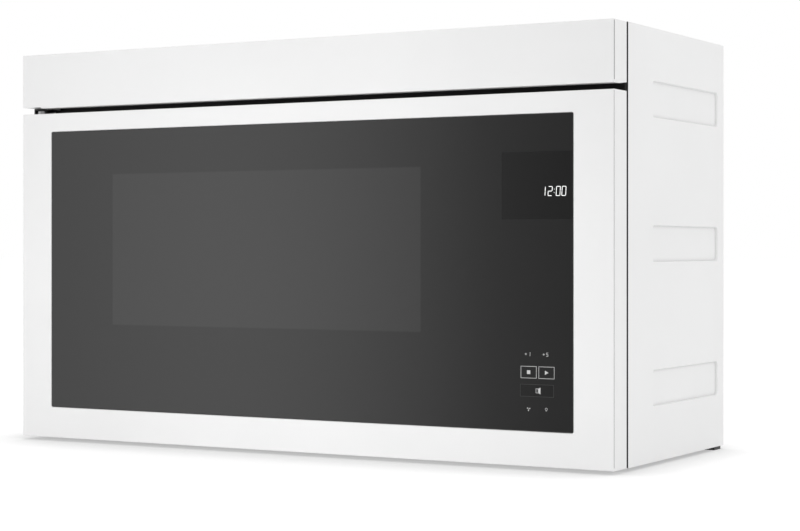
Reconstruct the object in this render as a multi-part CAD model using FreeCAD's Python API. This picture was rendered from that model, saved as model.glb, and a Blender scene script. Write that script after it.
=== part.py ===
"""Over-the-range microwave with a flush, side-swing glass door and a vent hood underneath.

Frame: millimetres, +Z up, +X to the viewer's right, the door faces -Y.
Origin: centre of the footprint, on the plane that the feet stand on.
"""
import FreeCAD
import Part
import math
import os
from FreeCAD import Vector

# ---------------------------------------------------------------- driving dimensions
WIDTH = 758.95
DEPTH = 308.1
HEIGHT = 454.15
FOOT_H = 3.8             # feet below the case
DOOR_DEPTH = 33.4        # door, front to back
BAND_DEPTH = 32.2        # band, front to back
SEAM = 2.6               # between the door's back and the case
VENT_GAP = 6.5           # air outlet between the band and the door
BAND_H = 63.2
TOP_REVEAL = 0.5         # case above the band
BOTTOM_REVEAL = 0.3      # door above the case's lower edge
SHEET = 1.0              # case sheet
PLATE = 1.5              # base, bulkhead and back sheet
SHELL = 2.5              # moulded walls of the door and band
FIT = 0.3                # gap between pieces that are set into each other
RUN = 0.05               # radial clearance of a pin in its bush
OVERCUT = 0.001          # how far a cut starts outside the face it opens

EMBOSS_L = 189.0         # pressed panels in the case sides
EMBOSS_H = 38.5
EMBOSS_DEPTH = 2.6
EMBOSS_SLOPE = 1.2       # how far the pressed walls lean inward
EMBOSS_BACK = 19.0       # panels from the back
EMBOSS_ROWS = 3
EMBOSS_LIFT = 1.5        # each panel above the middle of its third
EMBOSS_R = 5.0

GLASS_T = 4.0
GLASS_LEFT = 43.5        # frame left of the glass
GLASS_RIGHT = 44.4       # the same, right of it
GLASS_TOP = 22.0
GLASS_BOTTOM = 36.0
GLASS_LEDGE = 7.0
GLASS_R = 1.5
FRAME_EDGE_R = 0.8       # front edges of the door frame
REAR_EDGE_R = 1.6        # its rear edges
GLASS_BEVEL = 0.6        # on the glass and on the opening that it sits in
BAND_EDGE_R = 2.0        # lower front edge of the band
END_GROOVE_SET = 0.5     # upright groove in the band's and door's ends, behind the front face
END_GROOVE_MARGIN = 3.0  # where it stops, above the lower edge
BAND_GROOVE_W = 1.5
BAND_GROOVE_D = 1.7
DOOR_GROOVE_W = 0.9
DOOR_GROOVE_D = 0.9
BAND_END_W = 27.0        # left end of the band, over the hinge
BAND_END_RISE = 1.5      # how much higher that end's lower edge is
RETURN_RISE = 2.3        # how far the right return's lower edge climbs towards the back

CAVITY_LEFT = 62.0       # case side to cavity
SERVICE_W = 156.95       # electronics bay, right of the cavity
CAVITY_Z0 = 112.0
TOP_SPACE = 117.15       # blower bay over the cavity
REAR_SPACE = 18.3        # air way behind the cavity
CAVITY_R = 12.0
BULKHEAD_SET = 3.0       # bulkhead behind the case's front edge
WINDOW_LEFT = 71.6       # window inside the cavity's mouth
WINDOW_RIGHT = 62.5
WINDOW_EDGE = 26.0       # the same, above and below

HINGE_IN = 10.0          # hinge axis from the case side
HINGE_FWD = 9.0          # hinge axis in front of the door's back
HINGE_PIN_R = 3.0
HINGE_ARM_T = 4.0
HINGE_ARM_W = 12.0
HINGE_PIN_L = 12.0
HINGE_GAP = 0.8          # upper arm over the door
HINGE_TAB_H = 26.0       # leaf on the bulkhead
HINGE_TAB_T = 1.2
BUSH_WALL = 2.5

DUCT_L = 254.0           # duct outlet, a 10 in by 3 1/4 in rectangle
DUCT_W = 82.5
DUCT_BACK = 18.0         # outlet's edge from the back
CABINET_BOLT_X = 500.0   # spacing of the two bolts that hang it from the cabinet
CABINET_BOLT_Y = -20.0
CABINET_BOLT_R = 3.3
GLAND_R = 6.0
GLAND_WALL = 3.0
GLAND_SIDE = 79.5        # gland from the case side and from the back
GLAND_BACK = 34.0

FILTER_L = 220.0         # grease filters in the base
FILTER_W = 130.0
FILTER_T = 9.0
FILTER_SIDE = 204.5      # centre from the case side
FILTER_Y = 30.0
LAMP_L = 70.0
LAMP_W = 36.0
LAMP_SIDE = 179.5        # centre from the case side and from the front
LAMP_FRONT = 76.0
LENS_T = 2.5
MESH_COLS = 10           # openings of a grease filter
MESH_ROWS = 5
MESH_BAR = 3.8
FILTER_RIM = 6.0

# ---------------------------------------------------------------- derived places
HALF = WIDTH / 2
FRONT = -DEPTH / 2
BACK = DEPTH / 2
DOOR_BACK = FRONT + DOOR_DEPTH
BAND_BACK = FRONT + BAND_DEPTH
CASE_FRONT = DOOR_BACK + SEAM
CASE_Z0 = FOOT_H
BAND_Z1 = HEIGHT - TOP_REVEAL
BAND_Z0 = BAND_Z1 - BAND_H
DOOR_Z1 = BAND_Z0 - VENT_GAP
DOOR_Z0 = CASE_Z0 + BOTTOM_REVEAL
INNER = HALF - SHEET
BULK_Y0 = CASE_FRONT + BULKHEAD_SET
BULK_Y1 = BULK_Y0 + PLATE
BACK_Y0 = BACK - PLATE
BASE_Z1 = CASE_Z0 + PLATE
ROOF_Z0 = HEIGHT - SHEET
GLASS_X0 = -HALF + GLASS_LEFT
GLASS_X1 = HALF - GLASS_RIGHT
GLASS_Z0 = DOOR_Z0 + GLASS_BOTTOM
GLASS_Z1 = DOOR_Z1 - GLASS_TOP
GLASS_BACK = FRONT + GLASS_T
CAV_X0 = -HALF + CAVITY_LEFT
CAV_X1 = HALF - SERVICE_W
CAV_Z1 = HEIGHT - TOP_SPACE
CAV_BACK = BACK - REAR_SPACE
WINDOW_X0 = CAV_X0 + WINDOW_LEFT
WINDOW_X1 = CAV_X1 - WINDOW_RIGHT
WINDOW_Z0 = CAVITY_Z0 + WINDOW_EDGE
WINDOW_Z1 = CAV_Z1 - WINDOW_EDGE
GLAND_X = HALF - GLAND_SIDE
GLAND_Y = BACK - GLAND_BACK
CAV_XM = (CAV_X0 + CAV_X1) / 2
CAV_YM = (BULK_Y1 + CAV_BACK) / 2
CAV_ZM = (CAVITY_Z0 + CAV_Z1) / 2
HINGE_X = -HALF + HINGE_IN
HINGE_Y = DOOR_BACK - HINGE_FWD
UPPER_ARM_Z = DOOR_Z1 + HINGE_GAP
LOWER_ARM_Z = DOOR_Z0 + SHELL + 1.0
DUCT_Y1 = BACK - DUCT_BACK
DUCT_Y0 = DUCT_Y1 - DUCT_W
FILTER_X = HALF - FILTER_SIDE
LAMP_X = HALF - LAMP_SIDE
LAMP_Y = FRONT + LAMP_FRONT


# ---------------------------------------------------------------- shape helpers
def box(x0, x1, y0, y1, z0, z1):
    return Part.makeBox(x1 - x0, y1 - y0, z1 - z0, Vector(x0, y0, z0))


def rod(radius, start, end):
    line = Vector(*end) - Vector(*start)
    return Part.makeCylinder(radius, line.Length, Vector(*start), line)


def tube(outer, inner, start, end):
    return rod(outer, start, end).cut(rod(inner, start, end))


def rounded_outline(u0, u1, v0, v1, radius):
    """A rectangle with round corners in the XY plane, as a wire."""
    k = radius * (1 - math.sqrt(0.5))
    pts = [Vector(u0 + radius, v0, 0), Vector(u1 - radius, v0, 0), Vector(u1, v0 + radius, 0),
           Vector(u1, v1 - radius, 0), Vector(u1 - radius, v1, 0), Vector(u0 + radius, v1, 0),
           Vector(u0, v1 - radius, 0), Vector(u0, v0 + radius, 0)]
    mids = [Vector(u1 - k, v0 + k, 0), Vector(u1 - k, v1 - k, 0),
            Vector(u0 + k, v1 - k, 0), Vector(u0 + k, v0 + k, 0)]
    edges = []
    for i in range(4):
        a, b, c = pts[2 * i], pts[2 * i + 1], pts[(2 * i + 2) % 8]
        edges.append(Part.LineSegment(a, b).toShape())
        edges.append(Part.Arc(b, mids[i], c).toShape())
    return Part.Wire(edges)


def slab_z(x0, x1, y0, y1, z0, z1, radius):
    """A plate with round corners, thick along Z."""
    face = Part.Face(rounded_outline(x0, x1, y0, y1, radius))
    face.translate(Vector(0, 0, z0))
    return face.extrude(Vector(0, 0, z1 - z0))


def slab_y(x0, x1, z0, z1, y0, y1, radius):
    """A plate with round corners, thick along Y."""
    face = Part.Face(rounded_outline(x0, x1, z0, z1, radius))
    face.rotate(Vector(0, 0, 0), Vector(1, 0, 0), 90)
    face.translate(Vector(0, y0, 0))
    return face.extrude(Vector(0, y1 - y0, 0))


def slab_x(y0, y1, z0, z1, x0, x1, radius):
    """A plate with round corners, thick along X."""
    face = Part.Face(rounded_outline(y0, y1, z0, z1, radius))
    face.rotate(Vector(0, 0, 0), Vector(1, 0, 0), 90)
    face.rotate(Vector(0, 0, 0), Vector(0, 0, 1), 90)
    face.translate(Vector(x0, 0, 0))
    return face.extrude(Vector(x1 - x0, 0, 0))


def outline_z(points, z0, z1):
    """A straight-sided outline, given as (x, y) points, raised from z0 to z1."""
    ring = [Vector(x, y, z0) for x, y in points]
    return Part.Face(Part.makePolygon(ring + ring[:1])).extrude(Vector(0, 0, z1 - z0))


def outline_x(points, x0, x1):
    """A straight-sided outline, given as (y, z) points, carried from x0 to x1."""
    ring = [Vector(x0, y, z) for y, z in points]
    return Part.Face(Part.makePolygon(ring + ring[:1])).extrude(Vector(x1 - x0, 0, 0))


def joined(shapes):
    shapes = list(shapes)
    if len(shapes) == 1:
        return shapes[0]
    return shapes[0].fuse(shapes[1:]).removeSplitter()


def group(shapes):
    return Part.makeCompound(list(shapes))


def edges_along_z(shape, x, y):
    """The upright edges of a shape that stand at (x, y)."""
    found = []
    for edge in shape.Edges:
        bb = edge.BoundBox
        if bb.XLength < 0.01 and bb.YLength < 0.01 and abs(bb.XMin - x) < 0.01 and abs(bb.YMin - y) < 0.01:
            found.append(edge)
    return found


def edges_along_x(shape, y, z):
    """The level side-to-side edges of a shape that lie at (y, z)."""
    found = []
    for edge in shape.Edges:
        bb = edge.BoundBox
        if bb.YLength < 0.01 and bb.ZLength < 0.01 and abs(bb.YMin - y) < 0.01 and abs(bb.ZMin - z) < 0.01:
            found.append(edge)
    return found


def one_solid(shape):
    return shape.Solids[0] if len(shape.Solids) == 1 else shape


# ---------------------------------------------------------------- case
VENT_SLOT_L = 26.0
VENT_SLOT_W = 3.0
FOOT_L = 19.0
FOOT_BACK = 6.0          # foot from the back face
PAD_R = 14.0
PAD_SIDE = 74.5          # front pads, outside the filters
PAD_Y = FRONT + 94.0
VENT_SLOTS = 8           # in each of two rows
MOUNT_SLOT_L = 30.0      # slots that hook over the wall plate's tabs
MOUNT_SLOT_H = 6.0
MOUNT_SLOT_X = 560.0
MOUNT_SLOT_Z = 40.0
OPENING_FIT = 0.5        # filters and lenses in their openings
FAN_R = 36.0             # cooling fan behind the back panel's slots
FAN_X = HALF - 49.5
FAN_Z = (CAVITY_Z0 + CAV_Z1) / 2 - 9.5


def pressed_panel(side, y0, y1, z0, z1, grow, mouth_x):
    """The body of one pressed panel: its mouth in the side plane, its floor smaller and deeper in."""
    deep = HALF - EMBOSS_DEPTH - grow
    lean = EMBOSS_SLOPE
    mouth = rounded_outline(y0 - grow, y1 + grow, z0 - grow, z1 + grow, EMBOSS_R + grow)
    floor = rounded_outline(y0 + lean - grow, y1 - lean + grow, z0 + lean - grow, z1 - lean + grow,
                            EMBOSS_R - lean + grow)
    for wire, x in ((mouth, side * mouth_x), (floor, side * deep)):
        wire.rotate(Vector(0, 0, 0), Vector(1, 0, 0), 90)
        wire.rotate(Vector(0, 0, 0), Vector(0, 0, 1), 90)
        wire.translate(Vector(x, 0, 0))
    return Part.makeLoft([mouth, floor], True, True)


def wrap():
    """One folded sheet: top and two sides, with three pressed panels in each side."""
    shell = box(-HALF, HALF, CASE_FRONT, BACK, CASE_Z0, HEIGHT)
    shell = shell.cut(box(-INNER, INNER, CASE_FRONT - 1, BACK + 1, CASE_Z0 - 1, ROOF_Z0))
    pads = []
    pockets = []
    y1 = BACK - EMBOSS_BACK
    y0 = y1 - EMBOSS_L
    third = (HEIGHT - CASE_Z0) / EMBOSS_ROWS
    for row in range(EMBOSS_ROWS):
        z = CASE_Z0 + (row + 0.5) * third + EMBOSS_LIFT
        z0 = z - EMBOSS_H / 2
        z1 = z + EMBOSS_H / 2
        for side in (-1, 1):
            pads.append(pressed_panel(side, y0, y1, z0, z1, SHEET, HALF - SHEET / 2))
            pockets.append(pressed_panel(side, y0, y1, z0, z1, 0.0, HALF + OVERCUT))
    shell = shell.fuse(pads)
    holes = [box(-DUCT_L / 2, DUCT_L / 2, DUCT_Y0, DUCT_Y1, ROOF_Z0 - 1, HEIGHT + 1)]
    for side in (-1, 1):
        x = side * CABINET_BOLT_X / 2
        holes.append(rod(CABINET_BOLT_R, (x, CABINET_BOLT_Y, ROOF_Z0 - 1), (x, CABINET_BOLT_Y, HEIGHT + 1)))
    holes.append(rod(GLAND_R + GLAND_WALL, (GLAND_X, GLAND_Y, ROOF_Z0 - 1), (GLAND_X, GLAND_Y, HEIGHT + 1)))
    return shell.cut(pockets + holes).removeSplitter()


def back_panel():
    """Back sheet with two hooking slots for the wall plate and two rows of air slots at the fan."""
    panel = box(-INNER, INNER, BACK_Y0, BACK, CASE_Z0, ROOF_Z0)
    cuts = []
    for x in (-MOUNT_SLOT_X / 2, MOUNT_SLOT_X / 2):
        cuts.append(slab_y(x - MOUNT_SLOT_L / 2, x + MOUNT_SLOT_L / 2, MOUNT_SLOT_Z - MOUNT_SLOT_H / 2,
                           MOUNT_SLOT_Z + MOUNT_SLOT_H / 2, BACK_Y0 - 1, BACK + 1, MOUNT_SLOT_H / 2 - 0.01))
    pitch = 2.5 * VENT_SLOT_W
    for row in (-0.6, 0.6):
        z = FAN_Z + row * VENT_SLOT_L
        for i in range(VENT_SLOTS):
            x = FAN_X + (i - (VENT_SLOTS - 1) / 2) * pitch
            cuts.append(box(x - VENT_SLOT_W / 2, x + VENT_SLOT_W / 2, BACK_Y0 - 1, BACK + 1,
                            z - VENT_SLOT_L / 2, z + VENT_SLOT_L / 2))
    return panel.cut(cuts)


def filter_box(side, grow=0.0):
    x = side * FILTER_X
    return (x - FILTER_L / 2 - grow, x + FILTER_L / 2 + grow,
            FILTER_Y - FILTER_W / 2 - grow, FILTER_Y + FILTER_W / 2 + grow)


def lamp_box(side, grow=0.0):
    x = side * LAMP_X
    return (x - LAMP_L / 2 - grow, x + LAMP_L / 2 + grow,
            LAMP_Y - LAMP_W / 2 - grow, LAMP_Y + LAMP_W / 2 + grow)


def base_plate():
    """The underside: two filter openings, two lamp openings, rear feet and front pads pressed down."""
    plate = box(-INNER, INNER, BULK_Y0, BACK_Y0, CASE_Z0, BASE_Z1)
    cuts = []
    for side in (-1, 1):
        cuts.append(slab_z(*filter_box(side, OPENING_FIT), CASE_Z0 - 1, BASE_Z1 + 1, 6.0))
        cuts.append(slab_z(*lamp_box(side, OPENING_FIT), CASE_Z0 - 1, BASE_Z1 + 1, 4.0))
    plate = plate.cut(cuts)
    feet = []
    y1 = BACK - FOOT_BACK
    for side in (-1, 1):
        xs = sorted((side * (HALF - 1.5 * SHEET), side * (HALF - 1.5 * SHEET - FOOT_L)))
        feet.append(box(*xs, y1 - FOOT_L, y1, 0, CASE_Z0))
        pad = Part.makeCone(PAD_R - FOOT_H, PAD_R, FOOT_H, Vector(side * (HALF - PAD_SIDE), PAD_Y, 0))
        feet.append(pad)
    return joined([plate] + feet)


LATCH_X = HALF - 29.5    # door hooks, right of the cavity
LATCH_Z = (CAVITY_Z0 + 38.0, CAV_Z1 - 37.0)
LATCH_SLOT_W = 12.0
LATCH_SLOT_H = 22.0
PUSHER_R = 4.0
PUSHER_STROKE = 4.5


def latch_slot(z):
    return box(LATCH_X - LATCH_SLOT_W / 2, LATCH_X + LATCH_SLOT_W / 2, BULK_Y0 - 1, BULK_Y1 + 1,
               z - LATCH_SLOT_H / 2, z + LATCH_SLOT_H / 2)


def bulkhead():
    """The front plate of the case, round the cavity's mouth, with the latch slots and the air outlet."""
    plate = box(-INNER, INNER, BULK_Y0, BULK_Y1, BASE_Z1, ROOF_Z0)
    cuts = [slab_y(CAV_X0, CAV_X1, CAVITY_Z0, CAV_Z1, BULK_Y0 - 1, BULK_Y1 + 1, CAVITY_R)]
    cuts.append(box(-HALF + 40, HALF - 40, BULK_Y0 - 1, BULK_Y1 + 1, BAND_Z0 + 6, BAND_Z1 - 12))
    for z in LATCH_Z:
        cuts.append(latch_slot(z))
    z = sum(LATCH_Z) / 2
    cuts.append(rod(PUSHER_R + 1.0, (LATCH_X, BULK_Y0 - 1, z), (LATCH_X, BULK_Y1 + 1, z)))
    return plate.cut(cuts)


# ---------------------------------------------------------------- oven
WELL_R = 95.0            # dish under the ceramic floor
WELL_DEPTH = 16.0
CERAMIC_T = 4.0
GUIDE_W = 90.0           # waveguide, inside width and height
GUIDE_H = 30.0
GUIDE_WALL = 1.0
GUIDE_Z1 = CAVITY_Z0 - SHEET - WELL_DEPTH - SHEET
SHAFT_R = 3.0
MOTOR_R = 24.0
MOTOR_H = 15.0
MAGNETRON_X = HALF - 79.5
PORT_R = 18.0
AIR_HOLE = 4.0


def oven_cavity():
    """Enamelled box with round corners, open to the front, with a dish in its floor."""
    body = slab_y(CAV_X0 - SHEET, CAV_X1 + SHEET, CAVITY_Z0 - SHEET, CAV_Z1 + SHEET,
                  BULK_Y1, CAV_BACK + SHEET, CAVITY_R + SHEET)
    dish = rod(WELL_R + SHEET, (CAV_XM, CAV_YM, GUIDE_Z1), (CAV_XM, CAV_YM, CAVITY_Z0 - SHEET / 2))
    body = body.fuse(dish)
    hollow = slab_y(CAV_X0, CAV_X1, CAVITY_Z0, CAV_Z1, BULK_Y1 - 1, CAV_BACK, CAVITY_R)
    well = rod(WELL_R, (CAV_XM, CAV_YM, GUIDE_Z1 + SHEET), (CAV_XM, CAV_YM, CAVITY_Z0 + 1))
    body = body.cut([hollow, well]).removeSplitter()
    cuts = [rod(PORT_R, (CAV_XM, CAV_YM, GUIDE_Z1 - 1), (CAV_XM, CAV_YM, GUIDE_Z1 + SHEET + 1))]
    for row in range(3):
        for col in range(8):
            y = CAV_YM - 40 + col * 2 * AIR_HOLE
            z = CAV_Z1 - 60 + row * 2 * AIR_HOLE
            cuts.append(box(CAV_X1 - 1, CAV_X1 + SHEET + 1, y, y + AIR_HOLE, z, z + AIR_HOLE))
    return body.cut(cuts)


def ceramic_floor():
    inset = 1.0
    return slab_z(CAV_X0 + CAVITY_R, CAV_X1 - CAVITY_R, BULK_Y1 + inset, CAV_BACK - inset,
                  CAVITY_Z0, CAVITY_Z0 + CERAMIC_T, 8.0)


def waveguide():
    """Rectangular tube from the magnetron to the dish, with a coupling port in its roof."""
    x0 = CAV_XM - WELL_R * 0.55
    x1 = MAGNETRON_X + 30
    z0 = GUIDE_Z1 - GUIDE_H - 2 * GUIDE_WALL
    y0 = CAV_YM - GUIDE_W / 2
    y1 = CAV_YM + GUIDE_W / 2
    body = box(x0, x1, y0 - GUIDE_WALL, y1 + GUIDE_WALL, z0, GUIDE_Z1)
    body = body.cut(box(x0 + GUIDE_WALL, x1 - GUIDE_WALL, y0, y1, z0 + GUIDE_WALL, GUIDE_Z1 - GUIDE_WALL))
    port = rod(PORT_R, (CAV_XM, CAV_YM, GUIDE_Z1 - GUIDE_WALL - 1), (CAV_XM, CAV_YM, GUIDE_Z1 + 1))
    shaft = rod(SHAFT_R + 1, (CAV_XM, CAV_YM, z0 - 1), (CAV_XM, CAV_YM, z0 + GUIDE_WALL + 1))
    feed = rod(PORT_R, (MAGNETRON_X, CAV_YM, GUIDE_Z1 - GUIDE_WALL - 1), (MAGNETRON_X, CAV_YM, GUIDE_Z1 + 1))
    return body.cut([port, shaft, feed])


def antenna():
    """Rotating antenna: a slotted sector blade on a shaft that passes down through the waveguide."""
    z1 = CAVITY_Z0 - 4.0
    z0 = z1 - 1.5
    r = WELL_R - 12
    disc = rod(r, (CAV_XM, CAV_YM, z0), (CAV_XM, CAV_YM, z1))
    wedge = outline_z([(CAV_XM + 12, CAV_YM), (CAV_XM + 2 * r, CAV_YM - r), (CAV_XM + 2 * r, CAV_YM + r)],
                      z0 - 1, z1 + 1)
    slots = []
    for i in range(3):
        slot = slab_z(CAV_XM - 55, CAV_XM - 25, CAV_YM - 3, CAV_YM + 3, z0 - 1, z1 + 1, 2.9)
        slot.rotate(Vector(CAV_XM, CAV_YM, 0), Vector(0, 0, 1), (i - 1) * 60)
        slots.append(slot)
    bottom = GUIDE_Z1 - GUIDE_H - 2 * GUIDE_WALL - 8.0
    shaft = rod(SHAFT_R, (CAV_XM, CAV_YM, bottom), (CAV_XM, CAV_YM, z0 + 0.5))
    return joined([disc.cut([wedge] + slots), shaft])


def antenna_motor():
    """Flat synchronous motor with two ears, bored for the antenna's shaft."""
    z1 = GUIDE_Z1 - GUIDE_H - 2 * GUIDE_WALL
    z0 = z1 - MOTOR_H
    can = rod(MOTOR_R, (CAV_XM, CAV_YM, z0), (CAV_XM, CAV_YM, z1))
    ears = slab_z(CAV_XM - MOTOR_R - 12, CAV_XM + MOTOR_R + 12, CAV_YM - 8, CAV_YM + 8, z1 - 1.2, z1, 7.9)
    bore = rod(SHAFT_R + RUN, (CAV_XM, CAV_YM, z0 + 4), (CAV_XM, CAV_YM, z1 + 1))
    return joined([can, ears]).cut(bore)


MAGNETRON_W = 52.0
MAGNETRON_L = 80.0
MAGNETRON_H = 62.0
YOKE_T = 1.6
ANODE_R = 19.0
FINS = 6
FIN_PITCH = 8.0
FIN_LIFT = 12.0          # first fin over the waveguide
ANTENNA_DOME_R = 8.0
FILTER_CAN = (40.0, 56.0, 26.0)


def magnetron():
    """Anode block in a yoke with cooling fins, sitting on the waveguide, its antenna dome inside it."""
    z0 = GUIDE_Z1
    z1 = z0 + MAGNETRON_H
    x0, x1 = MAGNETRON_X - MAGNETRON_W / 2, MAGNETRON_X + MAGNETRON_W / 2
    y0, y1 = CAV_YM - MAGNETRON_L / 2, CAV_YM + MAGNETRON_L / 2
    yoke = box(x0, x1, y0, y1, z0, z1).cut(box(x0 - 1, x1 + 1, y0 + YOKE_T, y1 - YOKE_T, z0 + YOKE_T, z1 - YOKE_T))
    anode = rod(ANODE_R, (MAGNETRON_X, CAV_YM, z0 + YOKE_T / 2), (MAGNETRON_X, CAV_YM, z1 - YOKE_T / 2))
    fins = []
    for i in range(FINS):
        z = z0 + FIN_LIFT + i * FIN_PITCH
        fins.append(box(x0 + YOKE_T, x1 - YOKE_T, y0 + YOKE_T / 2, y1 - YOKE_T / 2, z, z + SHEET))
    dome = rod(ANTENNA_DOME_R, (MAGNETRON_X, CAV_YM, z0 - 0.66 * GUIDE_H), (MAGNETRON_X, CAV_YM, z0 + YOKE_T))
    width, length, height = FILTER_CAN
    can = box(MAGNETRON_X - width / 2, MAGNETRON_X + width / 2, CAV_YM - length / 2, CAV_YM + length / 2,
              z1, z1 + height)
    return joined([yoke, anode, dome, can] + fins)


CORE_W = 84.0
CORE_D = 56.0
CORE_H = 76.0
CORE_LEG = 28.0          # middle leg; each outer leg is less than half of it
CORE_SIDE_LEG = 11.0
CORE_FOOT = 16.0         # iron below and above the coils
COIL_OUT = 14.0          # coils beyond the core, front and back
COIL_GAP = 3.0
COIL_R = 12.0
CORE_SIDE = 47.5         # its middle from the case side and from the back
CORE_BACK = 49.0


def transformer():
    """High-voltage transformer: a laminated core with two coils, on the base plate."""
    x = HALF - CORE_SIDE
    y = BACK - CORE_BACK
    z0 = BASE_Z1
    core = box(x - CORE_W / 2, x + CORE_W / 2, y - CORE_D / 2, y + CORE_D / 2, z0, z0 + CORE_H)
    low = z0 + CORE_FOOT
    high = z0 + CORE_H - CORE_FOOT
    windows = []
    for side in (-1, 1):
        xs = sorted((x + side * CORE_LEG / 2, x + side * (CORE_W / 2 - CORE_SIDE_LEG)))
        windows.append(box(*xs, y - CORE_D / 2 - 1, y + CORE_D / 2 + 1, low, high))
    core = core.cut(windows)
    coils = []
    reach_x = CORE_W / 2 - CORE_SIDE_LEG - 1.0
    reach_y = CORE_D / 2 + COIL_OUT
    middle = (low + high) / 2
    for z1, z2 in ((low + 2.0, middle - COIL_GAP / 2), (middle + COIL_GAP / 2, high - 2.0)):
        coil = slab_z(x - reach_x, x + reach_x, y - reach_y, y + reach_y, z1, z2, COIL_R)
        coils.append(coil.cut(box(x - CORE_LEG / 2, x + CORE_LEG / 2, y - CORE_D / 2, y + CORE_D / 2, z1 - 1, z2 + 1)))
    return joined([core] + coils)


CAPACITOR = (52.0, 32.0, 30.0)
CAPACITOR_R = 14.0
CAPACITOR_SIDE = 79.0    # its near end from the case side
TAB_W = 6.3              # push-on terminals
TAB_T = 0.8
TAB_H = 12.0


def capacitor():
    """Oval can with two flat terminals."""
    length, width, height = CAPACITOR
    x0 = HALF - CAPACITOR_SIDE
    y0 = CAV_YM
    top = BASE_Z1 + height
    can = slab_z(x0, x0 + length, y0, y0 + width, BASE_Z1, top, CAPACITOR_R)
    posts = []
    for share in (0.3, 0.7):
        x = x0 + share * length
        y = y0 + width / 2
        posts.append(box(x - TAB_W / 2, x + TAB_W / 2, y - TAB_T / 2, y + TAB_T / 2, top - 1, top + TAB_H))
    return joined([can] + posts)


BOARD_T = 1.6
BOARD_H = 120.0
BOARD_L = 120.0
BOARD_STANDOFF = 17.4    # board's face from the case wall
BOARD_RISE = 33.0        # its upper edge above the cavity
BOARD_LEG_R = 3.0
RELAY = (20.0, 28.0, 18.0)
RELAY_PITCH = 34.0
TRAFO = (32.0, 50.0, 40.0)


def control_board():
    """Power board on four spacers beside the right wall, with its relays and a small transformer."""
    x1 = INNER - BOARD_STANDOFF
    x0 = x1 - BOARD_T
    z1 = CAV_Z1 + BOARD_RISE
    z0 = z1 - BOARD_H
    y0 = CAV_YM - 0.55 * BOARD_L
    board = box(x0, x1, y0, y0 + BOARD_L, z0, z1)
    out, along, up = RELAY
    relays = []
    for i in range(3):
        y = y0 + 0.08 * BOARD_L + i * RELAY_PITCH
        relays.append(box(x0 - out, x0, y, y + along, z0 + 0.1 * BOARD_H, z0 + 0.1 * BOARD_H + up))
    out, along, up = TRAFO
    y = y0 + 0.33 * BOARD_L
    small = box(x0 - out, x0, y, y + along, z0 + BOARD_H / 2, z0 + BOARD_H / 2 + up)
    legs = [rod(BOARD_LEG_R, (x1 - BOARD_T / 2, y, z), (INNER, y, z))
            for y in (y0 + 2 * BOARD_LEG_R, y0 + BOARD_L - 2 * BOARD_LEG_R)
            for z in (z0 + 2 * BOARD_LEG_R, z0 + 0.85 * BOARD_H)]
    return joined([board, small] + relays + legs)


FILTER_BOARD = (60.0, 70.0)
FILTER_BOARD_GAP = 10.4  # under the roof
FILTER_BOARD_SIDE = 7.5  # right of the cavity
FILTER_BOARD_BACK = 54.0
CHOKE_COIL_R = 14.0
CHOKE_COIL_H = 21.0
FUSE_R = 3.2
FUSE_L = 30.0


def line_filter():
    """Filter board with its choke and fuse, hung under the roof."""
    length, depth = FILTER_BOARD
    z1 = ROOF_Z0 - FILTER_BOARD_GAP
    z0 = z1 - BOARD_T
    x0 = CAV_X1 + FILTER_BOARD_SIDE
    y1 = BACK - FILTER_BOARD_BACK
    y0 = y1 - depth
    board = box(x0, x0 + length, y0, y1, z0, z1)
    x = x0 + length / 2
    y = y0 + CHOKE_COIL_R + 8.0
    choke = rod(CHOKE_COIL_R, (x, y, z0 - CHOKE_COIL_H), (x, y, z0))
    fuse_x = x0 + 2.5 * FUSE_R
    fuse_y = y1 - FUSE_L - FUSE_R
    fuse = rod(FUSE_R, (fuse_x, fuse_y, z0 - 2 * FUSE_R), (fuse_x, fuse_y + FUSE_L, z0 - 2 * FUSE_R))
    clips = []
    for at in (fuse_y + 1.0, fuse_y + FUSE_L - 1.0 - FUSE_R):
        clips.append(box(fuse_x - 1.2 * FUSE_R, fuse_x + 1.2 * FUSE_R, at, at + FUSE_R, z0 - 3.2 * FUSE_R, z0))
    legs = [rod(BOARD_LEG_R, (a, b, z1 - BOARD_T / 2), (a, b, ROOF_Z0))
            for a in (x0 + 2 * BOARD_LEG_R, x0 + length - 2 * BOARD_LEG_R)
            for b in (y0 + 2 * BOARD_LEG_R, y1 - 2 * BOARD_LEG_R)]
    return joined([board, choke, fuse] + clips + legs)


def cord_gland():
    """Round bush in the roof where a supply cord would leave."""
    z0 = ROOF_Z0 - 8
    outer = rod(GLAND_R + GLAND_WALL, (GLAND_X, GLAND_Y, z0), (GLAND_X, GLAND_Y, HEIGHT))
    lip = rod(GLAND_R + 2 * GLAND_WALL, (GLAND_X, GLAND_Y, z0), (GLAND_X, GLAND_Y, ROOF_Z0))
    bore = rod(GLAND_R, (GLAND_X, GLAND_Y, z0 - 1), (GLAND_X, GLAND_Y, HEIGHT + 1))
    return joined([outer, lip]).cut(bore)


LAMP_HOLDER = (14.0, 20.0, 30.0)
BULB_R = 7.0
BULB_L = 26.0


def cavity_lamp():
    """Bulb in a holder outside the cavity's right wall, behind its perforations."""
    x = CAV_X1 + SHEET
    out, along, up = LAMP_HOLDER
    y = CAV_YM - 56.0
    z = CAV_Z1 - 45.0
    holder = box(x, x + out, y - along / 2, y + along / 2, z - up / 2, z + up / 2)
    bulb = rod(BULB_R, (x + out - 1, y, z), (x + out + BULB_L, y, z))
    bulb = bulb.makeFillet(BULB_R * 0.8, [e for e in bulb.Edges if e.BoundBox.XMin > x + out + BULB_L - 0.01])
    return joined([holder, bulb])


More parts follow.
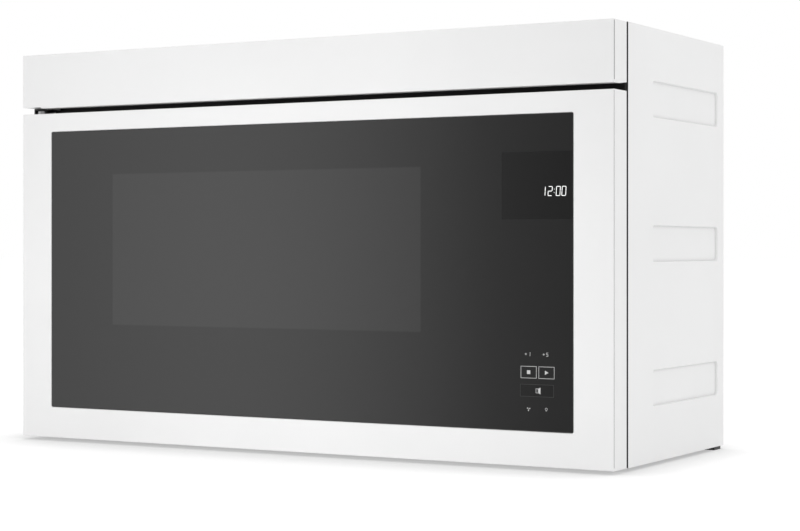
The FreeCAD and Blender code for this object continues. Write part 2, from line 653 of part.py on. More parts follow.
# ---------------------------------------------------------------- air and light
WHEEL_R = 37.0
WHEEL_L = 56.0
WHEEL_BLADES = 24
BLADE_T = 1.0
BLADE_DEEP = 7.0         # blades, from the rim inwards
BLADE_LEAD = 3.4         # how far a blade curves forward at its tip
WHEEL_GAP = 2.5          # wheel from its housing
SCROLL_R = 46.0
BLOWER_Y = DUCT_Y1 - SCROLL_R
BLOWER_Z = HEIGHT - 60.0
BLOWER_SHAFT_R = 4.0
MOTOR_HALF = 30.0
BLOWER_MOTOR_R = 34.0
SCROLL_L = 64.0
ADAPTOR_H = 13.0
ADAPTOR_T = 1.5
FLAP_T = 1.2
CHARCOAL_L = 380.0
FLAP_PIN_R = 1.5
FLAP_Z = HEIGHT - 6.0
FLAP_Y = DUCT_Y1 - 6.0


def blower_housing(side):
    """Scroll round one blower wheel, open upwards into the duct outlet and at its inlet side."""
    x0, x1 = sorted((side * MOTOR_HALF, side * (MOTOR_HALF + SCROLL_L)))
    top = HEIGHT - ADAPTOR_H
    drum = rod(SCROLL_R, (x0, BLOWER_Y, BLOWER_Z), (x1, BLOWER_Y, BLOWER_Z))
    throat = box(x0, x1, BLOWER_Y, BLOWER_Y + SCROLL_R, BLOWER_Z, top)
    hollow = rod(SCROLL_R - SHEET, (x0 + SHEET, BLOWER_Y, BLOWER_Z), (x1 - SHEET, BLOWER_Y, BLOWER_Z))
    way = box(x0 + SHEET, x1 - SHEET, BLOWER_Y + SHEET, BLOWER_Y + SCROLL_R - SHEET, BLOWER_Z, top + 1)
    outer = side * (MOTOR_HALF + SCROLL_L)
    inlet = rod(WHEEL_R - 9, (outer - side * 5, BLOWER_Y, BLOWER_Z), (outer + side * 5, BLOWER_Y, BLOWER_Z))
    inner = side * MOTOR_HALF
    hole = rod(BLOWER_SHAFT_R + 2, (inner - side * 5, BLOWER_Y, BLOWER_Z), (inner + side * 5, BLOWER_Y, BLOWER_Z))
    return one_solid(drum.fuse(throat).cut([hollow, way, inlet, hole]).removeSplitter())


def blower_motor():
    """Motor between the two scrolls, with end bells and a bore right through for the shaft."""
    can = rod(BLOWER_MOTOR_R, (-MOTOR_HALF + 4, BLOWER_Y, BLOWER_Z), (MOTOR_HALF - 4, BLOWER_Y, BLOWER_Z))
    bells = [rod(BLOWER_MOTOR_R * 0.6, (x, BLOWER_Y, BLOWER_Z), (x + 5, BLOWER_Y, BLOWER_Z))
             for x in (-MOTOR_HALF, MOTOR_HALF - 5)]
    bore = rod(BLOWER_SHAFT_R + RUN, (-MOTOR_HALF - 1, BLOWER_Y, BLOWER_Z), (MOTOR_HALF + 1, BLOWER_Y, BLOWER_Z))
    return joined([can] + bells).cut(bore)


def blower_wheel(side):
    """Forward-curved wheel: a hub disc, a rim ring and a ring of cranked blades."""
    near = side * (MOTOR_HALF + SHEET + WHEEL_GAP)
    far = near + side * WHEEL_L
    x0, x1 = sorted((near, far))
    centre = Vector(0, BLOWER_Y, BLOWER_Z)
    disc = tube(WHEEL_R, BLOWER_SHAFT_R, (near, *centre[1:]), (near + side * 1.5 * SHEET, *centre[1:]))
    rim = tube(WHEEL_R, WHEEL_R - 3 * SHEET, (far - side * 2 * SHEET, *centre[1:]), (far, *centre[1:]))
    hub = tube(2 * BLOWER_SHAFT_R, BLOWER_SHAFT_R, (near, *centre[1:]), (near + side * WHEEL_L / 4, *centre[1:]))
    root = WHEEL_R - BLADE_DEEP
    knee = WHEEL_R - BLADE_DEEP / 2
    tip = WHEEL_R - BLADE_T / 2
    blade = outline_x([(root, 0), (knee, BLADE_LEAD / 5), (tip, BLADE_LEAD), (tip, BLADE_LEAD + BLADE_T),
                       (knee, BLADE_LEAD / 5 + BLADE_T), (root, BLADE_T)], x0, x1)
    blade.translate(centre)
    blades = []
    for i in range(WHEEL_BLADES):
        copy = blade.copy()
        copy.rotate(centre, Vector(1, 0, 0), i * 360.0 / WHEEL_BLADES)
        blades.append(copy)
    return joined([disc, rim, hub] + blades)


def blower_shaft():
    reach = MOTOR_HALF + SHEET + WHEEL_GAP + WHEEL_L / 4 + 2 * SHEET
    return rod(BLOWER_SHAFT_R, (-reach, BLOWER_Y, BLOWER_Z), (reach, BLOWER_Y, BLOWER_Z))


def exhaust_adaptor():
    """Collar that lines the duct outlet, with a stop ledge for the flap."""
    z0 = HEIGHT - ADAPTOR_H
    outer = box(-DUCT_L / 2, DUCT_L / 2, DUCT_Y0, DUCT_Y1, z0, HEIGHT)
    t = ADAPTOR_T
    inner = box(-DUCT_L / 2 + t, DUCT_L / 2 - t, DUCT_Y0 + t, DUCT_Y1 - t, z0 - 1, HEIGHT + 1)
    collar = outer.cut(inner)
    ledge = box(-DUCT_L / 2 + t, DUCT_L / 2 - t, DUCT_Y0 + t, DUCT_Y0 + t + 4,
                FLAP_Z - FLAP_T / 2 - FIT - 1.2, FLAP_Z - FLAP_T / 2 - FIT)
    reach = DUCT_L / 2 + 1
    bore = rod(FLAP_PIN_R + RUN, (-reach, FLAP_Y, FLAP_Z), (reach, FLAP_Y, FLAP_Z))
    return joined([collar, ledge]).cut(bore)


def damper_flap():
    """Light flap with a curled hinge edge and a pin at each end."""
    x = DUCT_L / 2 - ADAPTOR_T - 1.0
    plate = box(-x, x, DUCT_Y0 + ADAPTOR_T + 1.5, FLAP_Y, FLAP_Z - FLAP_T / 2, FLAP_Z + FLAP_T / 2)
    curl = rod(2.6, (-x, FLAP_Y, FLAP_Z), (x, FLAP_Y, FLAP_Z))
    reach = DUCT_L / 2 - 0.2
    pin = rod(FLAP_PIN_R, (-reach, FLAP_Y, FLAP_Z), (reach, FLAP_Y, FLAP_Z))
    return joined([plate, curl, pin])


CHARCOAL_T = 14.0
CHARCOAL_CELLS = 18
CHARCOAL_CELL_L = 16.5
CHARCOAL_RIM = 5.0


def charcoal_filter():
    """Framed odour filter that closes the bulkhead's air outlet from behind."""
    z0 = BAND_Z0 + 2
    z1 = BAND_Z1 - 8
    half = CHARCOAL_L / 2
    frame = box(-half, half, BULK_Y1, BULK_Y1 + CHARCOAL_T, z0, z1)
    pitch = (CHARCOAL_L - CHARCOAL_RIM) / CHARCOAL_CELLS
    skin = 3 * SHEET
    cuts = []
    for i in range(CHARCOAL_CELLS):
        x = -half + CHARCOAL_RIM + i * pitch
        for y0, y1 in ((BULK_Y1 - 1, BULK_Y1 + skin), (BULK_Y1 + CHARCOAL_T - skin, BULK_Y1 + CHARCOAL_T + 1)):
            cuts.append(box(x, x + CHARCOAL_CELL_L, y0, y1, z0 + CHARCOAL_RIM, z1 - CHARCOAL_RIM))
    return frame.cut(cuts)


LOUVRE_SET = 12.0        # front of the fins, behind the band's face
LOUVRE_T = 2.0
LOUVRE_LEFT = 8.0        # lip's left end from the side
LOUVRE_BACK_PITCH = 24.0
LOUVRE_BACK_SLOT = 20.0
LOUVRE_PITCH = 12.0
LOUVRE_SLOT = 9.0
LOUVRE_WALL_SET = 1.3    # end walls inside the side planes
LOUVRE_TONGUE_SET = 19.0 # black tongue under the band's left end, behind the front


def vent_louvre():
    """Black louvre behind the band: fins that show in the gap over the door, a pierced back and end walls."""
    x0 = -HALF + LOUVRE_WALL_SET
    x1 = HALF - LOUVRE_WALL_SET
    lip_x0 = -HALF + LOUVRE_LEFT
    lip_x1 = HALF - SHELL - 1.0
    y0 = FRONT + LOUVRE_SET
    y1 = BULK_Y0 - LOUVRE_T
    top = BAND_Z1 - 12
    back = box(x0, x1, y1, BULK_Y0, DOOR_Z1 - LOUVRE_T, top)
    cuts = [box(-HALF, HINGE_X + HINGE_ARM_W / 2 + 3.0, y1 - 1, BULK_Y0 + 1, DOOR_Z1 - LOUVRE_T - 1,
                UPPER_ARM_Z + HINGE_ARM_T + FIT)]
    count = int((lip_x1 - lip_x0 - 2 * LOUVRE_BACK_PITCH) / LOUVRE_BACK_PITCH)
    for i in range(count):
        x = lip_x0 + LOUVRE_BACK_PITCH * (i + 1)
        cuts.append(box(x, x + LOUVRE_BACK_SLOT, y1 - 1, BULK_Y0 + 1, BAND_Z0 + 8, top - 6))
    lip = box(lip_x0, lip_x1, y0, y1, BAND_Z0 + SHELL, BAND_Z0 + SHELL + LOUVRE_T)
    count = int((lip_x1 - lip_x0 - 2 * LOUVRE_PITCH) / LOUVRE_PITCH)
    slots = []
    for i in range(count):
        x = lip_x0 + LOUVRE_PITCH * (i + 1)
        slots.append(box(x, x + LOUVRE_SLOT, y0 + 6, BULK_Y0 - 8, BAND_Z0, BAND_Z0 + SHELL + LOUVRE_T + 1))
    start = FRONT + LOUVRE_TONGUE_SET
    under = BAND_Z0 + BAND_END_RISE - FIT
    lip_top = BAND_Z0 + SHELL + LOUVRE_T
    walls = [box(x0, -HALF + BAND_END_W - FIT, start, BAND_BACK + FIT, under - LOUVRE_T, under),
             box(x0, x0 + LOUVRE_T, start, BULK_Y0, DOOR_Z1 + HINGE_GAP, under),
             box(x1 - LOUVRE_T, x1, BAND_BACK + FIT, BULK_Y0, DOOR_Z1 + HINGE_GAP, lip_top)]
    for x, side in ((x0, -1), (x1, 1)):
        xs = sorted((x, x - side * LOUVRE_T))
        walls.append(box(*xs, BAND_BACK + FIT, BULK_Y0, under - 1, lip_top))
    end = box(lip_x1 - 1, x1, BAND_BACK + FIT, BULK_Y0, BAND_Z0 + SHELL, top)
    end = end.cut(box(lip_x1 - 2, x1 - LOUVRE_T, BAND_BACK, y1, lip_top, top + 1))
    return joined([back.cut(cuts), lip.cut(slots), end] + walls)


BAND_MOUTH_LEFT = 30.0   # open underside, from the left side
BAND_MOUTH_SET = 14.0    # and from the front


def end_groove(side, z0, z1, width, depth):
    """Cutter for the upright line in an end face, just behind the front."""
    xs = sorted((side * (HALF - depth), side * (HALF + 1)))
    y = FRONT + END_GROOVE_SET
    return box(*xs, y, y + width, z0, z1)


def band():
    """White band over the door: a moulded shell, open behind, with a round lower edge and two end caps."""
    body = box(-HALF, HALF, FRONT, BAND_BACK, BAND_Z0, BAND_Z1)
    body = body.makeFillet(BAND_EDGE_R, edges_along_x(body, FRONT, BAND_Z0))
    cuts = [box(-HALF + SHELL, HALF - SHELL, FRONT + SHELL, BAND_BACK + 1, BAND_Z0 + SHELL, BAND_Z1 - SHELL),
            box(-HALF + BAND_MOUTH_LEFT, HALF - SHELL, FRONT + BAND_MOUTH_SET, BAND_BACK + 1, BAND_Z0 - 1,
                BAND_Z0 + SHELL + 1),
            box(-HALF - 1, -HALF + BAND_END_W, FRONT - 1, BAND_BACK + 1, BAND_Z0 - 1, BAND_Z0 + BAND_END_RISE),
            outline_x([(FRONT + BAND_MOUTH_SET, BAND_Z0), (BAND_BACK + 1, BAND_Z0 - 1),
                       (BAND_BACK + 1, BAND_Z0 + RETURN_RISE)], HALF - SHELL - 1, HALF + 1)]
    for side in (-1, 1):
        cuts.append(end_groove(side, BAND_Z0 + END_GROOVE_MARGIN, BAND_Z1 - 1.0, BAND_GROOVE_W, BAND_GROOVE_D))
    return one_solid(body.cut(cuts))


def grease_filter(side):
    """Metal filter: a channel frame round a pierced mesh plate, with a finger tab."""
    x0, x1, y0, y1 = filter_box(side)
    z0 = CASE_Z0 + FIT
    z1 = z0 + FILTER_T
    skin = FILTER_T / 3
    frame = slab_z(x0, x1, y0, y1, z0, z1, FILTER_RIM - 0.5)
    for low, high in ((z0 - 1, z0 + skin), (z1 - skin, z1 + 1)):
        frame = frame.cut(box(x0 + FILTER_RIM, x1 - FILTER_RIM, y0 + FILTER_RIM, y1 - FILTER_RIM, low, high))
    pitch_x = (FILTER_L - 2 * FILTER_RIM - MESH_BAR) / MESH_COLS
    pitch_y = (FILTER_W - 2 * FILTER_RIM - MESH_BAR) / MESH_ROWS
    slots = []
    for i in range(MESH_COLS):
        for j in range(MESH_ROWS):
            x = x0 + FILTER_RIM + MESH_BAR + i * pitch_x
            y = y0 + FILTER_RIM + MESH_BAR + j * pitch_y
            slots.append(box(x, x + pitch_x - MESH_BAR, y, y + pitch_y - MESH_BAR, z0, z1))
    half = 2 * FILTER_RIM
    x = (x0 + x1) / 2
    tab = box(x - half, x + half, y0 + FILTER_RIM - 0.5, y0 + 1.5 * FILTER_RIM, z0, z0 + skin + 0.5)
    return joined([frame.cut(slots), tab])


LENS_LAP = 3.0           # lens flange beyond its opening


def lamp_lens(side):
    """Clear cover set in the base plate, with a flange that lies on the plate inside."""
    x0, x1, y0, y1 = lamp_box(side)
    body = slab_z(x0, x1, y0, y1, CASE_Z0 + 0.2, BASE_Z1, LENS_LAP)
    flange = slab_z(x0 - LENS_LAP, x1 + LENS_LAP, y0 - LENS_LAP, y1 + LENS_LAP, BASE_Z1, BASE_Z1 + LENS_T,
                    LENS_LAP)
    return joined([body, flange])


LAMP_BOARD_W = 32.0
LAMP_BOARD_REACH = 8.0   # board beyond the lens at each end
LAMP_BOARD_RISE = 10.0
LEDS = 5
LED_SIZE = 5.0


def lamp_board(side):
    """Strip of five LEDs on two posts over the lens."""
    x0, x1, y0, y1 = lamp_box(side)
    x0 -= LAMP_BOARD_REACH
    x1 += LAMP_BOARD_REACH
    middle = (y0 + y1) / 2
    z = BASE_Z1 + LAMP_BOARD_RISE
    board = box(x0, x1, middle - LAMP_BOARD_W / 2, middle + LAMP_BOARD_W / 2, z, z + BOARD_T)
    legs = [rod(LED_SIZE * 0.4, (x, middle, BASE_Z1), (x, middle, z + BOARD_T / 2))
            for x in (x0 + LED_SIZE / 2, x1 - LED_SIZE / 2)]
    pitch = LAMP_L / (LEDS + 0.5)
    leds = []
    for i in range(LEDS):
        x = (x0 + x1) / 2 + (i - (LEDS - 1) / 2) * pitch
        leds.append(box(x - LED_SIZE / 2, x + LED_SIZE / 2, middle - LED_SIZE / 2, middle + LED_SIZE / 2,
                        z - LED_SIZE / 4, z + BOARD_T / 4))
    return joined([board] + legs + leds)


FAN_HUB_R = 11.0
FAN_HUB_L = 14.0
FAN_SET = 24.0           # hub's near face in front of the back panel
FAN_BLADES = 5
FAN_CHORD = 20.0
FAN_PITCH = 30.0
SPINDLE_R = 2.5
SHROUD_T = 2.0
FAN_MOTOR_R = 14.0
FAN_MOTOR_L = 18.0
FAN_ARM_T = 4.0
FAN_ARM_W = 6.0


def fan_wheel():
    """Axial fan: five pitched blades on a hub."""
    y0 = BACK_Y0 - FAN_SET
    y = y0 + FAN_HUB_L / 2
    hub = rod(FAN_HUB_R, (FAN_X, y0, FAN_Z), (FAN_X, y0 + FAN_HUB_L, FAN_Z))
    blades = []
    for i in range(FAN_BLADES):
        blade = box(FAN_X + 0.7 * FAN_HUB_R, FAN_X + FAN_R - 3, y - PLATE / 2, y + PLATE / 2,
                    FAN_Z - FAN_CHORD / 2, FAN_Z + FAN_CHORD / 2)
        blade.rotate(Vector(FAN_X, y, FAN_Z), Vector(1, 0, 0), FAN_PITCH)
        blade.rotate(Vector(FAN_X, y, FAN_Z), Vector(0, 1, 0), i * 360.0 / FAN_BLADES)
        blades.append(blade)
    bore = rod(SPINDLE_R + RUN, (FAN_X, y0 - 1, FAN_Z), (FAN_X, y0 + 0.7 * FAN_HUB_L, FAN_Z))
    return one_solid(joined([hub] + blades).cut(bore))


def fan_frame():
    """Shroud on the back panel with a motor on three arms and the fan's fixed spindle."""
    y0 = BACK_Y0 - FAN_SET - 2.0
    outer = FAN_R + SHROUD_T
    ring = tube(outer, FAN_R, (FAN_X, y0, FAN_Z), (FAN_X, BACK_Y0, FAN_Z))
    motor = rod(FAN_MOTOR_R, (FAN_X, y0 - FAN_ARM_T - FAN_MOTOR_L, FAN_Z), (FAN_X, y0 - FAN_ARM_T, FAN_Z))
    spindle = rod(SPINDLE_R, (FAN_X, y0 - FAN_ARM_T - 2, FAN_Z), (FAN_X, y0 + 0.8 * FAN_HUB_L, FAN_Z))
    arms = []
    for i in range(3):
        arm = box(FAN_X + 0.7 * FAN_MOTOR_R, FAN_X + outer, y0 - 2 * FAN_ARM_T, y0 - FAN_ARM_T,
                  FAN_Z - FAN_ARM_W / 2, FAN_Z + FAN_ARM_W / 2)
        foot = box(FAN_X + FAN_R - SHROUD_T / 2, FAN_X + outer, y0 - 2 * FAN_ARM_T, y0 + 1,
                   FAN_Z - FAN_ARM_W / 2, FAN_Z + FAN_ARM_W / 2)
        piece = arm.fuse(foot)
        piece.rotate(Vector(FAN_X, y0, FAN_Z), Vector(0, 1, 0), 60 + i * 120)
        arms.append(piece)
    return joined([ring, motor, spindle] + arms)


# ---------------------------------------------------------------- hinges and latch
def hinge_arm(z0, pin_from, pin_to, tab_z0):
    """Steel arm on the bulkhead that reaches forward to the hinge axis, with its leaf and pin."""
    z1 = z0 + HINGE_ARM_T
    half = HINGE_ARM_W / 2
    arm = box(HINGE_X - half, HINGE_X + half, HINGE_Y, BULK_Y0, z0, z1)
    eye = rod(half, (HINGE_X, HINGE_Y, z0), (HINGE_X, HINGE_Y, z1))
    tab = box(HINGE_X - half, HINGE_X + half + 2, BULK_Y0 - HINGE_TAB_T, BULK_Y0, tab_z0, tab_z0 + HINGE_TAB_H)
    pin = rod(HINGE_PIN_R, (HINGE_X, HINGE_Y, pin_from), (HINGE_X, HINGE_Y, pin_to))
    return joined([arm, eye, tab, pin])


BUSH_H = 14.0
BUSH_L = 26.0            # bush block, along the door


def hinge_upper():
    return hinge_arm(UPPER_ARM_Z, DOOR_Z1 - SHELL - HINGE_PIN_L, UPPER_ARM_Z + 1,
                     UPPER_ARM_Z + HINGE_ARM_T - HINGE_TAB_H)


def hinge_lower():
    return hinge_arm(LOWER_ARM_Z, LOWER_ARM_Z, LOWER_ARM_Z + HINGE_ARM_T + HINGE_PIN_L, LOWER_ARM_Z)


def door_bush(z0, z1):
    """Bush block in the door's corner, bored for the hinge pin."""
    r = HINGE_PIN_R + BUSH_WALL
    barrel = rod(r, (HINGE_X, HINGE_Y, z0), (HINGE_X, HINGE_Y, z1))
    block = box(HINGE_X, HINGE_X + BUSH_L, FRONT + SHELL, HINGE_Y + 4, z0, z1)
    bore = rod(HINGE_PIN_R + RUN, (HINGE_X, HINGE_Y, z0 - 1), (HINGE_X, HINGE_Y, z1 + 1))
    return joined([barrel, block]).cut(bore)


def door_bush_upper():
    return door_bush(DOOR_Z1 - SHELL - BUSH_H, DOOR_Z1 - SHELL)


def door_bush_lower():
    z0 = LOWER_ARM_Z + HINGE_ARM_T + FIT
    return door_bush(z0, z0 + BUSH_H)


HOOK_Y = DOOR_BACK - 12.0
HOOK_HALF_W = 3.0
HOOK_PIN_R = 2.0
HOOK_TAIL = 8.0
HOOK_H = 8.0
HOOK_REACH = 2.0         # barb behind the bulkhead
HOOK_NOSE = 7.0
PEG_R = 1.5
LINK_T = 2.0
FORK_T = 1.5
LINER_T = 2.5
LINER_Y0 = DOOR_BACK - LINER_T


def latch_hook(z):
    """Latch lever: a barbed nose that reaches through the bulkhead, a pivot eye and a tail pin."""
    half = HOOK_H / 2
    nose = BULK_Y1 + HOOK_REACH
    tip = nose + HOOK_NOSE
    tail = HOOK_Y - HOOK_TAIL
    pts = [(tail, z - half + 1), (HOOK_Y, z - half), (nose, z - half), (nose, z - 2 * half),
           (tip - 3, z - 2 * half), (tip, z - half / 2), (tip, z + half / 2), (tip - half, z + half),
           (HOOK_Y, z + half), (tail, z + half - 1)]
    x0 = LATCH_X - HOOK_HALF_W
    x1 = LATCH_X + HOOK_HALF_W
    lever = outline_x(pts, x0, x1)
    eye = rod(half + 1, (x0, HOOK_Y, z), (x1, HOOK_Y, z))
    end = rod(half - 1, (x0, tail, z), (x1, tail, z))
    peg = rod(PEG_R, (x1 - 1, tail, z), (x1 + LINK_T + 2, tail, z))
    bore = rod(HOOK_PIN_R + RUN, (x0 - 1, HOOK_Y, z), (x1 + 1, HOOK_Y, z))
    return joined([lever, eye, end, peg]).cut(bore)


def latch_link():
    """Flat bar that ties the two latch hooks' tails together."""
    x0 = LATCH_X + HOOK_HALF_W + FIT
    y = HOOK_Y - HOOK_TAIL
    half = HOOK_H / 2
    bar = box(x0, x0 + LINK_T, y - half, y + half, LATCH_Z[0] - half - 1, LATCH_Z[1] + half + 1)
    holes = [rod(PEG_R + FIT, (x0 - 1, y, z), (x0 + LINK_T + 1, y, z)) for z in LATCH_Z]
    return bar.cut(holes)


def latch_brackets():
    """Two forked brackets on the door's liner, each with the pin that carries a hook."""
    reach = HOOK_HALF_W + FIT
    forks = []
    for z in LATCH_Z:
        left = box(LATCH_X - reach - FORK_T, LATCH_X - reach, HOOK_Y - 5, LINER_Y0, z - 7, z + 7)
        right = box(LATCH_X + reach, LATCH_X + reach + FORK_T, HOOK_Y - 3.2, LINER_Y0, z - 7, z + 7)
        pin = rod(HOOK_PIN_R, (LATCH_X - reach - FORK_T, HOOK_Y, z), (LATCH_X + reach + FORK_T, HOOK_Y, z))
        forks.append(joined([left, right, pin]))
    return group(forks)


BOARD_W = 40.0
LATCH_BOARD_SET = 22.0   # behind the bulkhead
LATCH_BOARD_T = 3.0
LATCH_BOARD_OVER = 30.0  # beyond the hooks, above and below


def latch_board():
    """Moulded board behind the bulkhead that carries the switches and the door opener."""
    x0, x1 = LATCH_X - BOARD_W / 2, LATCH_X + BOARD_W / 2
    y0 = BULK_Y1 + LATCH_BOARD_SET
    low = LATCH_Z[0] - LATCH_BOARD_OVER
    high = LATCH_Z[1] + LATCH_BOARD_OVER
    plate = box(x0, x1, y0, y0 + LATCH_BOARD_T, low, high)
    walls = []
    for z in (low, LATCH_Z[0] + 20, LATCH_Z[1] - 23, high - LATCH_BOARD_T):
        walls.append(box(x0, x1, BULK_Y1, y0, z, z + LATCH_BOARD_T))
    z = sum(LATCH_Z) / 2
    half = OPENER_W / 2 + 1.0
    hole = box(LATCH_X - half, LATCH_X + half, y0 - 1, y0 + LATCH_BOARD_T + 1, z - half, z + half)
    return joined([plate] + walls).cut(hole)


SWITCH_Y = BULK_Y1 + 13.0
PLUNGER_TRAVEL = 1.5
PLUNGER_W = 4.0
SWITCH_W = 10.0
SWITCH_H = 28.0
OPENER_W = 20.0
OPENER_L = 46.0


def interlock_switch(z):
    """Snap switch on the latch board, with a guide hole for its plunger."""
    body = box(LATCH_X - SWITCH_W / 2, LATCH_X + SWITCH_W / 2, SWITCH_Y, BULK_Y1 + LATCH_BOARD_SET,
               z - SWITCH_H / 2, z + SWITCH_H / 2)
    half = PLUNGER_W / 2 + RUN
    return body.cut(box(LATCH_X - half, LATCH_X + half, SWITCH_Y - 1, SWITCH_Y + 6, z - half, z + half))


def plunger(z):
    tip = BULK_Y1 + HOOK_REACH + HOOK_NOSE + FIT
    half = PLUNGER_W / 2
    return box(LATCH_X - half, LATCH_X + half, tip, SWITCH_Y + 4, z - half, z + half)


def door_opener():
    """Housing of the door opener, bored for its pusher."""
    z = sum(LATCH_Z) / 2
    half = OPENER_W / 2
    body = box(LATCH_X - half, LATCH_X + half, BULK_Y1, BULK_Y1 + OPENER_L, z - half, z + half)
    flange = box(LATCH_X - half, LATCH_X + half, BULK_Y1, BULK_Y1 + 2, z - 1.8 * half, z + 1.8 * half)
    bore = rod(PUSHER_R + RUN, (LATCH_X, BULK_Y1 - 1, z), (LATCH_X, BULK_Y1 + OPENER_L - half, z))
    return joined([body, flange]).cut(bore)


def opener_pusher():
    z = sum(LATCH_Z) / 2
    return rod(PUSHER_R, (LATCH_X, BULK_Y0 + 0.5, z), (LATCH_X, BULK_Y1 + 0.65 * OPENER_L, z))


# ---------------------------------------------------------------- door
CHOKE_OUT = 26.0         # choke panel beyond the cavity's mouth
CHOKE_DEPTH = 16.0
RING_OUT = 20.0          # raised ring of the liner, beyond the mouth
RING_H = 4.8
PANE_LAP = 18.0          # liner's opening and inner pane beyond the window
PANE_T = 1.5
SCREEN_T = 0.6
DISPLAY_X = GLASS_X1 - 41.1
DISPLAY_Z = GLASS_Z1 - 73.0
TOUCH_X = GLASS_X1 - 40.6
TOUCH_Z = GLASS_Z0 + 52.3


def beveled_opening():
    """Cutter for the glass's seat, with a small bevel round its mouth."""
    pocket = slab_y(GLASS_X0 - FIT, GLASS_X1 + FIT, GLASS_Z0 - FIT, GLASS_Z1 + FIT, FRONT - 1, GLASS_BACK,
                    GLASS_R + FIT)
    rings = []
    for grow, y in ((FIT + GLASS_BEVEL, FRONT - OVERCUT), (FIT, FRONT + GLASS_BEVEL)):
        wire = rounded_outline(GLASS_X0 - grow, GLASS_X1 + grow, GLASS_Z0 - grow, GLASS_Z1 + grow, GLASS_R + grow)
        wire.rotate(Vector(0, 0, 0), Vector(1, 0, 0), 90)
        wire.translate(Vector(0, y, 0))
        rings.append(wire)
    return pocket.fuse(Part.makeLoft(rings, True, True))


def door_frame():
    """White moulded frame: sharp front edges, deep returns, and a ledge that the glass sits in."""
    body = box(-HALF, HALF, FRONT, DOOR_BACK, DOOR_Z0, DOOR_Z1)
    for y, radius in ((FRONT, FRAME_EDGE_R), (DOOR_BACK, REAR_EDGE_R)):
        edges = [e for x in (-HALF, HALF) for e in edges_along_z(body, x, y)]
        edges += [e for z in (DOOR_Z0, DOOR_Z1) for e in edges_along_x(body, y, z)]
        body = body.makeFillet(radius, edges)
    body = body.cut(box(-HALF + SHELL, HALF - SHELL, FRONT + SHELL, DOOR_BACK + 1,
                        DOOR_Z0 + SHELL, DOOR_Z1 - SHELL))
    rim = slab_y(GLASS_X0 - 3, GLASS_X1 + 3, GLASS_Z0 - 3, GLASS_Z1 + 3, FRONT + 1, GLASS_BACK + 1.5, GLASS_R + 3)
    hole = slab_y(GLASS_X0 + GLASS_LEDGE, GLASS_X1 - GLASS_LEDGE, GLASS_Z0 + GLASS_LEDGE,
                  GLASS_Z1 - GLASS_LEDGE, FRONT - 1, GLASS_BACK + 3, GLASS_R)
    pin_hole = rod(HINGE_PIN_R + 1.0, (HINGE_X, HINGE_Y, DOOR_Z1 - SHELL - 1), (HINGE_X, HINGE_Y, DOOR_Z1 + 1))
    cuts = [beveled_opening(), hole, pin_hole, arm_notch()]
    for side in (-1, 1):
        cuts.append(end_groove(side, DOOR_Z0 + END_GROOVE_MARGIN, DOOR_Z1 - 1.0, DOOR_GROOVE_W, DOOR_GROOVE_D))
    return one_solid(body.fuse(rim).cut(cuts).removeSplitter())


def arm_notch():
    """Room for the fixed lower arm as the door swings round it."""
    half = HINGE_ARM_W / 2 + 1.0
    return box(-HALF - 1, HINGE_X + half, HINGE_Y - half, DOOR_BACK + RING_H, LOWER_ARM_Z - 0.6,
               LOWER_ARM_Z + HINGE_ARM_T + 0.6)


def door_glass():
    pane = slab_y(GLASS_X0, GLASS_X1, GLASS_Z0, GLASS_Z1, FRONT, GLASS_BACK, GLASS_R)
    return pane.makeChamfer(GLASS_BEVEL, [e for e in pane.Edges if e.BoundBox.YMax < FRONT + 0.01])


def door_liner():
    """Black inner cover of the door with the raised ring that meets the oven's mouth."""
    x = HALF - SHELL - FIT
    z0 = DOOR_Z0 + SHELL + FIT
    z1 = DOOR_Z1 - SHELL - FIT
    plate = box(-x, x, LINER_Y0, DOOR_BACK - 0.5, z0, z1)
    ring = slab_y(CAV_X0 - RING_OUT, CAV_X1 + RING_OUT, CAVITY_Z0 - RING_OUT, CAV_Z1 + RING_OUT,
                  LINER_Y0, DOOR_BACK + RING_H, CAVITY_R + RING_OUT)
    hole = slab_y(WINDOW_X0 - PANE_LAP, WINDOW_X1 + PANE_LAP, WINDOW_Z0 - PANE_LAP, WINDOW_Z1 + PANE_LAP,
                  LINER_Y0 - 1, DOOR_BACK + RING_H + 1, 8.0)
    half = HOOK_HALF_W + 2.5
    slots = [box(LATCH_X - half, LATCH_X + half, LINER_Y0 - 1, DOOR_BACK + 1, z - 14, z + 7) for z in LATCH_Z]
    r = HINGE_PIN_R + BUSH_WALL + 0.5
    corners = [box(-x - 1, HINGE_X + r, LINER_Y0 - 1, DOOR_BACK + 1, z0 - 1, z0 + BUSH_L),
               box(-x - 1, HINGE_X + r, LINER_Y0 - 1, DOOR_BACK + 1, z1 - BUSH_H - 6, z1 + 1)]
    return one_solid(plate.fuse(ring).cut([hole] + slots + corners))


def choke_panel():
    """Folded metal pan that keeps the microwaves in, with the window cut through it."""
    x0 = CAV_X0 - CHOKE_OUT
    x1 = CAV_X1 + CHOKE_OUT
    z0 = CAVITY_Z0 - CHOKE_OUT
    z1 = CAV_Z1 + CHOKE_OUT
    y0 = LINER_Y0 - CHOKE_DEPTH
    body = slab_y(x0, x1, z0, z1, y0, LINER_Y0, 6.0)
    body = body.cut(slab_y(x0 + SHEET, x1 - SHEET, z0 + SHEET, z1 - SHEET, y0 - 1, LINER_Y0 - SHEET, 5.0))
    return body.cut(slab_y(WINDOW_X0 - 6, WINDOW_X1 + 6, WINDOW_Z0 - 6, WINDOW_Z1 + 6, y0, LINER_Y0 + 1, 5.0))


def window_screen():
    """Pierced sheet over the window; the holes are finer than its model needs."""
    y1 = LINER_Y0 - SHEET
    return slab_y(WINDOW_X0 - 14, WINDOW_X1 + 14, WINDOW_Z0 - 14, WINDOW_Z1 + 14, y1 - SCREEN_T, y1, 4.0)


